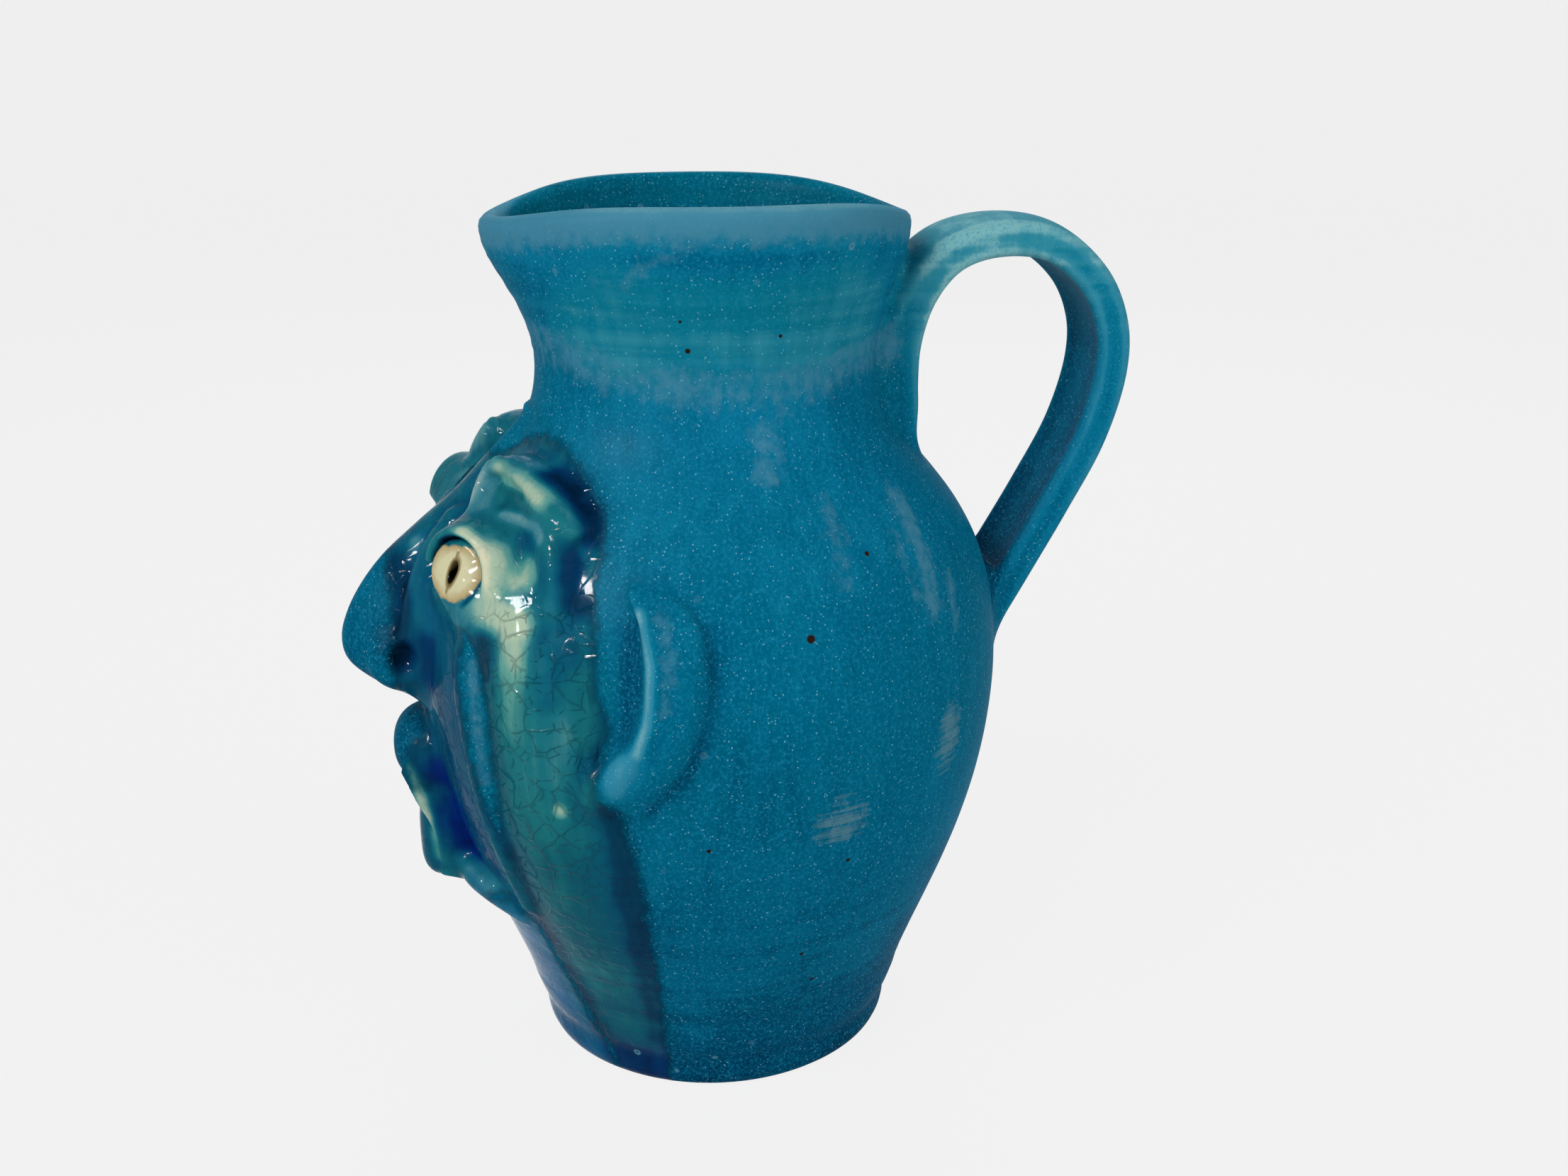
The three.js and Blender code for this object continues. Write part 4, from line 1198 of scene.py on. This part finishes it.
def eye_marks(x, y, z, out_of_wall):
    """The slot round the rod, and how far inside of the slip and of the pupil each point lies, in mm."""
    side, top, ahead = eye_coordinates(np.abs(x), y, z)
    slot = np.exp(-((np.hypot(side, top) - eye_radius - 0.5) / slot_width) ** 2) * (out_of_wall > 3)
    slot = slot * smooth_step(ahead, -5, -3) * smooth_step(top + 1.2 * side, -3, 2)
    on_end = (ahead > -2.6) & (out_of_wall > 4)
    slip = np.where(on_end, slip_radius - np.hypot(side * slip_stretch, top), not_here)
    leaning = side - slit_lean * top
    slit = -0.3 - np.maximum(np.abs(leaning + 0.3) - 0.15, 0) - np.maximum(np.abs(top) - slit_half_height, 0)
    pupil = np.maximum(pupil_radius - np.hypot(leaning, top * pupil_stretch), slit)
    return slot, slip, np.where(slip > -2, pupil, not_here)


print("eye: slip and pupil on a rod of", eye_radius, "mm radius")

# %% [markdown]
# One function now gathers all of it for the points of a piece. The glaze is thinner on edges and at the rim
# and deeper in hollows and in the eye's slot. The inside of the jug has a plain even coat.

# %% Coat on the vertices
coat_names = ("depth", "blue", "glossy", "crazed", "frost", "dry", "pits", "slip", "pupil", "rings")
edge_pull = 0.30
rim_thinning = 0.4
slot_depth = 0.4
inside_depth, inside_blue = 0.60, 0.1
# the cheek, where the crackle is strongest: azimuth of its middle, half width in degrees
crazed_middle, crazed_half = 51, 11


def coat(points, bend, corner):
    """Everything the glaze needs to know at each point, by name."""
    x, y, z = points.T
    azimuth = np.degrees(np.arctan2(np.abs(x), -y))
    out_of_wall = np.hypot(x, y) - wall_radius(z)
    inner = smooth_step(-out_of_wall, 0.6, 4.0)
    rim_sink = rim_dip * np.cos(np.radians(azimuth)) ** 4
    slot, slip, pupil = eye_marks(x, y, z, out_of_wall)
    depth, blue = brushed(points, azimuth)
    depth = depth - np.clip(edge_pull * sample_bend(bend, corner, points), -0.34, 0.16)
    depth = depth - rim_thinning * np.exp(-((z - rim_height + rim_sink) / 1.2) ** 2)
    depth = depth + (inside_depth - depth) * inner + slot_depth * slot
    blue = blue + (inside_blue - blue) * inner
    cheek = np.exp(-((azimuth - crazed_middle) / crazed_half) ** 4)
    cheek = cheek * smooth_step(z, 40, 90) * smooth_step(-z, -158, -150)
    frost = frost_at(points, azimuth, rim_sink) * (1 - inner) * smooth_step(-out_of_wall, -9.0, -6.0)
    dry, pits = scuffs_and_pits(x, z, azimuth)
    rings = np.maximum(smooth_step(z, 200, 214), smooth_step(-z, -110, -40))
    glossy, crazed = glossy_distance(points), 0.3 + 0.7 * cheek
    return dict(zip(coat_names, (depth, blue, glossy, crazed, frost, dry, pits, slip, pupil, rings)))


print("stored on each vertex:", ", ".join(coat_names))

# %% [markdown]
# On the strap the glaze is paler on the arch and deeper at both roots. The pale arch is thin drained glaze
# and partly painted light from above, and the inner side gets painted shade. So its depth and its blue
# follow the way along the strap instead of the strokes.

# %% Coat of the strap
# the pale stretch on the arch is thin glaze, and partly painted light from above
# share of the way, depth, share of blue
strap_glaze_and_light_rows = np.array([
    (0.0, 0.56, 0.5), (0.12, 0.46, 0.3), (0.24, 0.28, 0.1), (0.32, 0.15, 0.1), (0.42, 0.31, 0.1),
    (0.55, 0.44, 0.4), (0.70, 0.52, 0.55), (0.85, 0.60, 0.5), (1.0, 0.60, 0.5),
])
every = 3
# painted shade: how much darker the strap's inner side, which faces the jug, is made
inner_side_shade_depth = 0.22


def coat_strap(points):
    told = coat(points, handle_bend, handle_corner)
    line = strap_rows[::every]
    nearest = np.linalg.norm(points[:, None, 1:] - line[None], axis=2).argmin(1)
    way = nearest * every / (len(strap_rows) - 1)
    step = np.gradient(strap_rows, axis=0)[::every][nearest]
    off = points[:, 1:] - line[nearest]
    outward = (step[:, 0] * off[:, 1] - step[:, 1] * off[:, 0]) / np.linalg.norm(step, axis=1)
    # painted shade on the strap's inner side, which faces the jug
    shaded_inner_side = smooth_step(-outward, 2.0, 4.0) * smooth_step(way, 0.2, 0.5)
    thin = np.clip(0.9 * sample_bend(handle_bend, handle_corner, points), -0.3, 0.3)
    deep = np.interp(way, strap_glaze_and_light_rows[:, 0], strap_glaze_and_light_rows[:, 1])
    told["depth"] = deep + inner_side_shade_depth * shaded_inner_side - thin
    told["blue"] = np.interp(way, strap_glaze_and_light_rows[:, 0], strap_glaze_and_light_rows[:, 2])
    return told


print("strap: glaze in", len(strap_glaze_and_light_rows), "steps along it")

# %% [markdown]
# The glaze itself is one recipe with two faces. Satin: a copper turquoise that holds fine pale crystals,
# seen as speckle, and that streaks downwards. Glossy: the same copper with cobalt, clear and crackled, from
# cream where it is thin to nearly black blue where it pools. A layer of coloured glass could be traced, but
# a ramp over the depth is quicker and can be matched: one for copper and one for cobalt on each face.

# %% Colours by depth
ramp_colours = {
    "satin copper": (
        (0.0, "#7FBDBF"), (0.22, "#3492A3"), (0.42, "#087A90"), (0.58, "#00687F"), (0.76, "#004E67"),
        (1.0, "#003049")),
    "satin cobalt": (
        (0.0, "#80B2CC"), (0.22, "#358CB2"), (0.42, "#08719E"), (0.58, "#00628C"), (0.76, "#004A73"),
        (1.0, "#002D52")),
    "glossy copper": (
        (0.0, "#E2DFBD"), (0.16, "#B5CDB0"), (0.32, "#5FA598"), (0.46, "#1C7A7E"), (0.62, "#0D5F6E"),
        (0.80, "#074254"), (1.0, "#032536")),
    "glossy cobalt": (
        (0.0, "#B4C2CF"), (0.20, "#7393B5"), (0.38, "#2A6C9C"), (0.54, "#085A85"), (0.68, "#034080"),
        (0.84, "#011F78"), (1.0, "#000C4A")),
}


def coloured(tree, depth, blue, face):
    both = []
    for metal in ("copper", "cobalt"):
        stops = ramp_colours[face + " " + metal]
        made = add(tree, "ShaderNodeValToRGB", {"Fac": depth})
        ramp = made.color_ramp
        ramp.interpolation = "EASE"
        while len(ramp.elements) < len(stops):
            ramp.elements.new(0.5)
        for element, (place, colour) in zip(ramp.elements, stops):
            element.position = place
            element.color = linear(colour)
        both.append(made.outputs[0])
    return add(tree, "ShaderNodeMix", {0: blue, 6: both[0], 7: both[1]}, 2, data_type="RGBA")


print("ramps:", ", ".join(ramp_colours))

# %% [markdown]
# A glaze is never even. Clouds 40 mm wide change its depth, streaks 4.5 mm wide and ten times as tall ran
# down in it, and level bands follow the throwing rings. Drips and hatching are finer sorts of the same two,
# and the ragged noise breaks up every edge. All are the same noise, stretched the way the glaze ran or the
# wheel turned.

# %% Uneven depth
# stretch along x, y and z, size in mm, detail
textures = {
    "cloud": ((1, 1, 1), 40, 3.0),
    "streak": ((1, 1, 0.1), 4.5, 3.0),
    "drip": ((1, 1, 0.1), 1.5, 2.0),
    "band": ((0.03, 0.03, 1), 3.2, 2.0),
    "hatch": ((0.03, 0.03, 1), 1.1, 1.0),
    "ragged": ((1, 1, 1), 3.0, 3.0),
}
mean_unevenness = 0.27


def textures_of(tree, mm):
    made = {}
    for name, (stretch, size, detail) in textures.items():
        vector = add(tree, "ShaderNodeVectorMath", {0: mm, 1: stretch}, 0, operation="MULTIPLY")
        made[name] = add(tree, "ShaderNodeTexNoise",
                         {"Vector": vector, "Scale": 1 / size, "Detail": detail}, "Fac")
    return made


def depth_of(tree, told, noise):
    banded = add(tree, "ShaderNodeMath", {0: noise["band"], 1: told["rings"]}, 0, operation="MULTIPLY")
    shares = ((noise["cloud"], 0.30), (noise["streak"], 0.24), (banded, 0.3), (told["rings"], -0.15))
    depth = told["depth"]
    for pattern, share in shares:
        depth = add(tree, "ShaderNodeMath", {0: pattern, 1: share, 2: depth}, 0, operation="MULTIPLY_ADD")
    return add(tree, "ShaderNodeMath", {0: depth, 1: mean_unevenness}, 0, operation="SUBTRACT")


print("textures:", ", ".join(textures))

# %% [markdown]
# Three layers of pale crystals lie in the satin glaze: grit, which only lightens it, speckle of single
# crystals that stand up a little, and frost, a dense haze of them in streaks that ran down. Voronoi cells
# give the speckle, because each cell has one dot with a chance of its own. Real crystals are 0.1 to 0.4 mm,
# and the finest are drawn at 0.4 mm so that they show.

# %% Satin face
# size of a cell in mm, share of the cells left empty, largest radius as a share of the cell
crystals = ((1.0, 0.10, 0.27), (2.8, 0.45, 0.14))
grit_mm = 0.9


def satin_face(tree, mm, told, noise, depth):
    """The satin colour, and the single crystals on it."""
    grit = add(tree, "ShaderNodeTexNoise",
               {"Vector": mm, "Scale": 1 / grit_mm, "Detail": 3.0, "Roughness": 0.75}, "Fac")
    grit = add(tree, "ShaderNodeMapRange",
               {"Value": grit, "From Min": 0.48, "From Max": 0.72, "To Max": 0.75}, 0)
    speckle = []
    for cell, empty, largest in crystals:
        crystal = add(tree, "ShaderNodeTexVoronoi", {"Vector": mm, "Scale": 1 / cell})
        chance = add(tree, "ShaderNodeSeparateColor", {0: crystal.outputs["Color"]}, 0)
        radius = add(tree, "ShaderNodeMapRange", {"Value": chance, "From Min": empty, "To Max": largest}, 0)
        inside = add(tree, "ShaderNodeMath",
                     {0: radius, 1: crystal.outputs["Distance"]}, 0, operation="SUBTRACT")
        inside = add(tree, "ShaderNodeMapRange", {"Value": inside, "From Max": 0.07, "To Max": 0.8}, 0)
        speckle.append(inside)
    dots = add(tree, "ShaderNodeMath", {0: speckle[0], 1: speckle[1]}, 0, operation="MAXIMUM")
    haze = told["frost"]
    for pattern, share in (("drip", 0.16), ("streak", 0.55), ("ragged", 0.9)):
        haze = add(tree, "ShaderNodeMath",
                   {0: noise[pattern], 1: share, 2: haze}, 0, operation="MULTIPLY_ADD")
    haze = add(tree, "ShaderNodeMapRange",
               {"Value": haze, "From Min": 1.00, "From Max": 1.65, "To Max": 0.72}, 0,
               interpolation_type="SMOOTHSTEP")
    satin = coloured(tree, depth, told["blue"], "satin")
    for share, pale in ((grit, "#1D8DB4"), (dots, "#6BB3CB"), (haze, "#4F8DA6")):
        satin = add(tree, "ShaderNodeMix", {0: share, 6: satin, 7: linear(pale)}, 2, data_type="RGBA")
    return satin, dots


print("satin:", len(crystals), "sizes of crystal")

# %% [markdown]
# The glossy glaze shrank more than the clay as it cooled, so it is crackled: a broken net of fine raised
# cracks, 7 mm apart with finer ones between. The edges of Voronoi cells make the net. Noise bends it and
# breaks it, because whole cells would look like scales.

# %% Glossy face
# size of a cell in mm, width of a crack as a share of it, and the noise at which cracks begin and are whole
crack_nets = ((7.0, 0.055, 0.37, 0.47), (4.0, 0.06, 0.50, 0.58))
crack_stain = 0.40
sway_mm, sway = 9.0, 5.0


def glossy_face(tree, mm, told, noise, depth):
    """The glossy colour, and the cracks in it."""
    bent = add(tree, "ShaderNodeTexNoise", {"Vector": mm, "Scale": 1 / sway_mm, "Detail": 1.0}, "Color")
    bent = add(tree, "ShaderNodeVectorMath",
               {0: bent, 1: (sway, sway, sway), 2: mm}, 0, operation="MULTIPLY_ADD")
    nets = []
    for cell, width, low, high in crack_nets:
        off = add(tree, "ShaderNodeTexVoronoi",
                  {"Vector": bent, "Scale": 1 / cell}, feature="DISTANCE_TO_EDGE").outputs[0]
        thin = add(tree, "ShaderNodeMapRange",
                   {"Value": off, "From Max": width, "To Min": 1.0, "To Max": 0.0}, 0)
        broken = add(tree, "ShaderNodeMapRange",
                     {"Value": noise["ragged"], "From Min": low, "From Max": high}, 0)
        nets.append(add(tree, "ShaderNodeMath", {0: thin, 1: broken}, 0, operation="MULTIPLY"))
    crack = add(tree, "ShaderNodeMath", {0: nets[0], 1: nets[1]}, 0, operation="MAXIMUM")
    crack = add(tree, "ShaderNodeMath", {0: crack, 1: told["crazed"]}, 0, operation="MULTIPLY")
    stain = add(tree, "ShaderNodeMath", {0: crack, 1: crack_stain}, 0, operation="MULTIPLY")
    glossy = coloured(tree, depth, told["blue"], "glossy")
    glossy = add(tree, "ShaderNodeMix", {0: stain, 6: glossy, 7: linear("#083F52")}, 2, data_type="RGBA")
    return glossy, crack


print("glossy:", len(crack_nets), "nets of cracks")

# %% [markdown]
# Small marks lie over both faces. A pinhole is a dark prick in a pale ring, and they are about 9 mm apart
# where the glaze boiled. Iron specks in the clay burn through as brown spots. Dry scuffs are pale and
# hatched. Chance places the pinholes, and the few iron spots are listed.

# %% Pinholes, iron spots and scuffs
# azimuth, height and radius
iron_spots = (
    (100.4, 146.8, 1.3), (76.6, 214.3, 0.8), (74.8, 221.9, 0.5), (104.2, 217.4, 0.6), (116.8, 163.5, 0.8),
    (101.9, 51.2, 0.7), (106.6, 39.1, 0.7), (81.1, 91.7, 0.7), (108.5, 82.9, 0.7),
)
pinhole_mm = 9.0


def marks(tree, mm, told, noise, colour):
    """The colour with the marks on it, and the rings of the pinholes."""
    hole = add(tree, "ShaderNodeTexVoronoi", {"Vector": mm, "Scale": 1 / pinhole_mm}, 0)
    layers = []
    for outer, inner, paint in ((0.15, 0.08, "#5F9DB4"), (0.07, 0.04, "#123544")):
        near = add(tree, "ShaderNodeMapRange", {"Value": hole, "From Min": outer, "From Max": inner}, 0)
        near = add(tree, "ShaderNodeMath", {0: near, 1: told["pits"]}, 0, operation="MULTIPLY")
        layers.append((near, paint))
    for azimuth, height, radius in iron_spots:
        centre = tuple(on_wall(azimuth, height, 0))
        away = add(tree, "ShaderNodeVectorMath", {0: mm, 1: centre}, "Value", operation="DISTANCE")
        iron = add(tree, "ShaderNodeMapRange",
                   {"Value": away, "From Min": radius, "From Max": radius * 0.7}, 0)
        layers.append((iron, "#2B1C14"))
    scuff = add(tree, "ShaderNodeMath", {0: noise["ragged"], 1: noise["hatch"]}, 0, operation="ADD")
    scuff = add(tree, "ShaderNodeMath", {0: scuff, 1: told["dry"]}, 0, operation="MULTIPLY")
    scuff = add(tree, "ShaderNodeMapRange",
                {"Value": scuff, "From Min": 0.68, "From Max": 1.05, "To Max": 0.5}, 0)
    layers.append((scuff, "#6F949C"))
    for share, paint in layers:
        colour = add(tree, "ShaderNodeMix", {0: share, 6: colour, 7: linear(paint)}, 2, data_type="RGBA")
    return colour, layers[0][0]


print("iron spots:", len(iron_spots))

# %% [markdown]
# The eye is painted last, so that it covers the rest: ivory slip with a brown stain along its worn edge,
# then the pupil, black with a brown edge of its own.

# %% Eye paint
wear_mm = 2.4


def eye_paint(tree, told, noise, colour):
    """The colour with the eye on it, and where the slip lies."""
    worn = add(tree, "ShaderNodeMath",
               {0: noise["ragged"], 1: wear_mm, 2: told["slip"]}, 0, operation="MULTIPLY_ADD")
    ivory = add(tree, "ShaderNodeMapRange", {"Value": worn, "From Min": 1.0, "From Max": 1.6}, 0)
    stain = add(tree, "ShaderNodeMapRange",
                {"Value": worn, "From Min": 1.6, "From Max": 4.0, "To Min": 0.75, "To Max": 0.0}, 0)
    slip = add(tree, "ShaderNodeMix",
               {0: stain, 6: linear("#DAD6AE"), 7: linear("#AE9058")}, 2, data_type="RGBA")
    brown = add(tree, "ShaderNodeMapRange", {"Value": told["pupil"], "From Min": -0.9, "From Max": -0.3}, 0)
    black = add(tree, "ShaderNodeMapRange", {"Value": told["pupil"], "From Min": -0.2, "From Max": 0.2}, 0)
    for share, paint in ((ivory, slip), (brown, linear("#8C7B4E")), (black, linear("#0B0907"))):
        colour = add(tree, "ShaderNodeMix", {0: share, 6: colour, 7: paint}, 2, data_type="RGBA")
    return colour, ivory


print("eye paint: ivory slip, brown stain and black pupil")

# %% [markdown]
# The recipe puts the layers together. The signed distance to the zone's outline, made ragged by up to 2 mm,
# picks the face, and a dark line runs where the two faces meet. Satin is rough and has little shine. Glossy
# glaze and the eye are smooth and shine more. Crystals, cracks and the rings of pinholes stand up from the
# surface.

# %% Glaze recipe
raggedness = 5.0
seam_half_width, seam_share = 2.4, 0.55
glass_ior = 1.5
satin_rough, glossy_rough = 0.42, 0.07
satin_share = 0.2
crystal_height, crack_height, ring_height = 0.05, 0.34, 0.08
relief_strength = 0.8


def glaze(name, shine):
    material, tree = new_material(name)
    place = add(tree, "ShaderNodeTexCoord", take="Object")
    mm = add(tree, "ShaderNodeVectorMath", {0: place, "Scale": 1 / MM}, 0, operation="SCALE")
    told = {key: add(tree, "ShaderNodeAttribute", take="Fac", attribute_name=key) for key in coat_names}
    noise = textures_of(tree, mm)
    depth = depth_of(tree, told, noise)
    satin, dots = satin_face(tree, mm, told, noise, depth)
    glossy, crack = glossy_face(tree, mm, told, noise, depth)

    edge = add(tree, "ShaderNodeMath",
               {0: noise["ragged"], 1: raggedness, 2: told["glossy"]}, 0, operation="MULTIPLY_ADD")
    edge = add(tree, "ShaderNodeMath", {0: edge, 1: raggedness / 2}, 0, operation="SUBTRACT")
    zone = add(tree, "ShaderNodeMapRange", {"Value": edge, "From Min": -0.5, "From Max": 0.5}, 0)
    colour = add(tree, "ShaderNodeMix", {0: zone, 6: satin, 7: glossy}, 2, data_type="RGBA")
    seam = add(tree, "ShaderNodeMath", {0: edge}, 0, operation="ABSOLUTE")
    seam = add(tree, "ShaderNodeMapRange",
               {"Value": seam, "From Min": 0.3, "From Max": seam_half_width,
                "To Min": seam_share, "To Max": 0.0}, 0)
    colour = add(tree, "ShaderNodeMix", {0: seam, 6: colour, 7: linear("#03304A")}, 2, data_type="RGBA")
    colour, ring = marks(tree, mm, told, noise, colour)
    colour, ivory = eye_paint(tree, told, noise, colour)

    wet = add(tree, "ShaderNodeMath", {0: zone, 1: ivory}, 0, operation="MAXIMUM")
    rough = add(tree, "ShaderNodeMapRange", {"Value": wet, "To Min": satin_rough, "To Max": glossy_rough}, 0)
    gleam = add(tree, "ShaderNodeMapRange",
                {"Value": wet, "To Min": satin_share * shine, "To Max": shine}, 0)
    relief = add(tree, "ShaderNodeMath", {0: dots, 1: crystal_height}, 0, operation="MULTIPLY")
    cracks = add(tree, "ShaderNodeMath", {0: crack, 1: zone}, 0, operation="MULTIPLY")
    for raised, height in ((cracks, crack_height), (ring, ring_height)):
        relief = add(tree, "ShaderNodeMath", {0: raised, 1: height, 2: relief}, 0, operation="MULTIPLY_ADD")
    bump = add(tree, "ShaderNodeBump", {"Height": relief, "Distance": MM, "Strength": relief_strength}, 0)
    surface = add(tree, "ShaderNodeBsdfPrincipled", {
        "Base Color": colour, "Roughness": rough, "IOR": glass_ior, "Specular IOR Level": gleam,
        "Normal": bump}, 0)
    add(tree, "ShaderNodeOutputMaterial", {"Surface": surface})
    return material


print("recipe: two faces, marks and the eye")

# %% [markdown]
# Each slot of the record gets its finish, named for the real glaze and the way it was put on. The recipe is
# shared, so that one coat runs over the joints between the pieces, and only the shine differs. The shine is
# far below that of bare glass, because the white paper all round would lay a veil over the deep colours.

# %% Finishes
finishes = {
    # a thick copper coat full of crystals: soft sheen, turquoise that gets darker downwards
    "turquoise_glaze": ("copper_satin_glaze_dipped", 0.012),
    # the same coat drained thin over the strap, with a wider sheen; its paler arch is partly painted light
    # from above
    "strap_glaze": ("copper_satin_glaze_drained", 0.03),
    # cobalt brushed on over copper: inky pools in the hollows and hard white glints
    "cobalt_glaze": ("cobalt_gloss_glaze_brushed", 0.012),
    # a clear pale green coat that crackled: cream on edges, sea green in hollows, fine raised cracks
    "celadon_glaze": ("celadon_crackle_glaze_brushed", 0.012),
    # pale slip under clear glaze: warm ivory with a stained edge
    "ivory_glaze": ("ivory_slip_clear_glazed", 0.015),
}
glazes = {slot: glaze(name, shine) for slot, (name, shine) in finishes.items()}
print("glazes:", ", ".join(material.name for material in glazes.values()))

# %% [markdown]
# Last, each mesh becomes a piece of the jug: it takes its glaze from the record's slot, rides on the jug's
# one rigid body and stands in for its solid.

# %% Pieces
slots = {sub["node"]: sub["material_slot"] for sub in frame["record"]["subparts"]}
for node, (points, faces) in shapes.items():
    mesh = bpy.data.meshes.new("glazed_" + node)
    mesh.from_pydata((points * MM).tolist(), [], faces if isinstance(faces, list) else faces.tolist())
    mesh.shade_smooth()
    mesh.materials.append(glazes[slots[node]])
    told = coat_strap(points) if node == "handle" else coat(points, face_bend, face_corner)
    for key, values in told.items():
        mesh.attributes.new(key, "FLOAT", "POINT").data.foreach_set("value", values.astype(np.float32))
    piece = bpy.data.objects.new("glazed_" + node, mesh)
    bpy.context.scene.collection.objects.link(piece)
    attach(piece, "root")
    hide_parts(node)
print("pieces:", len(shapes))
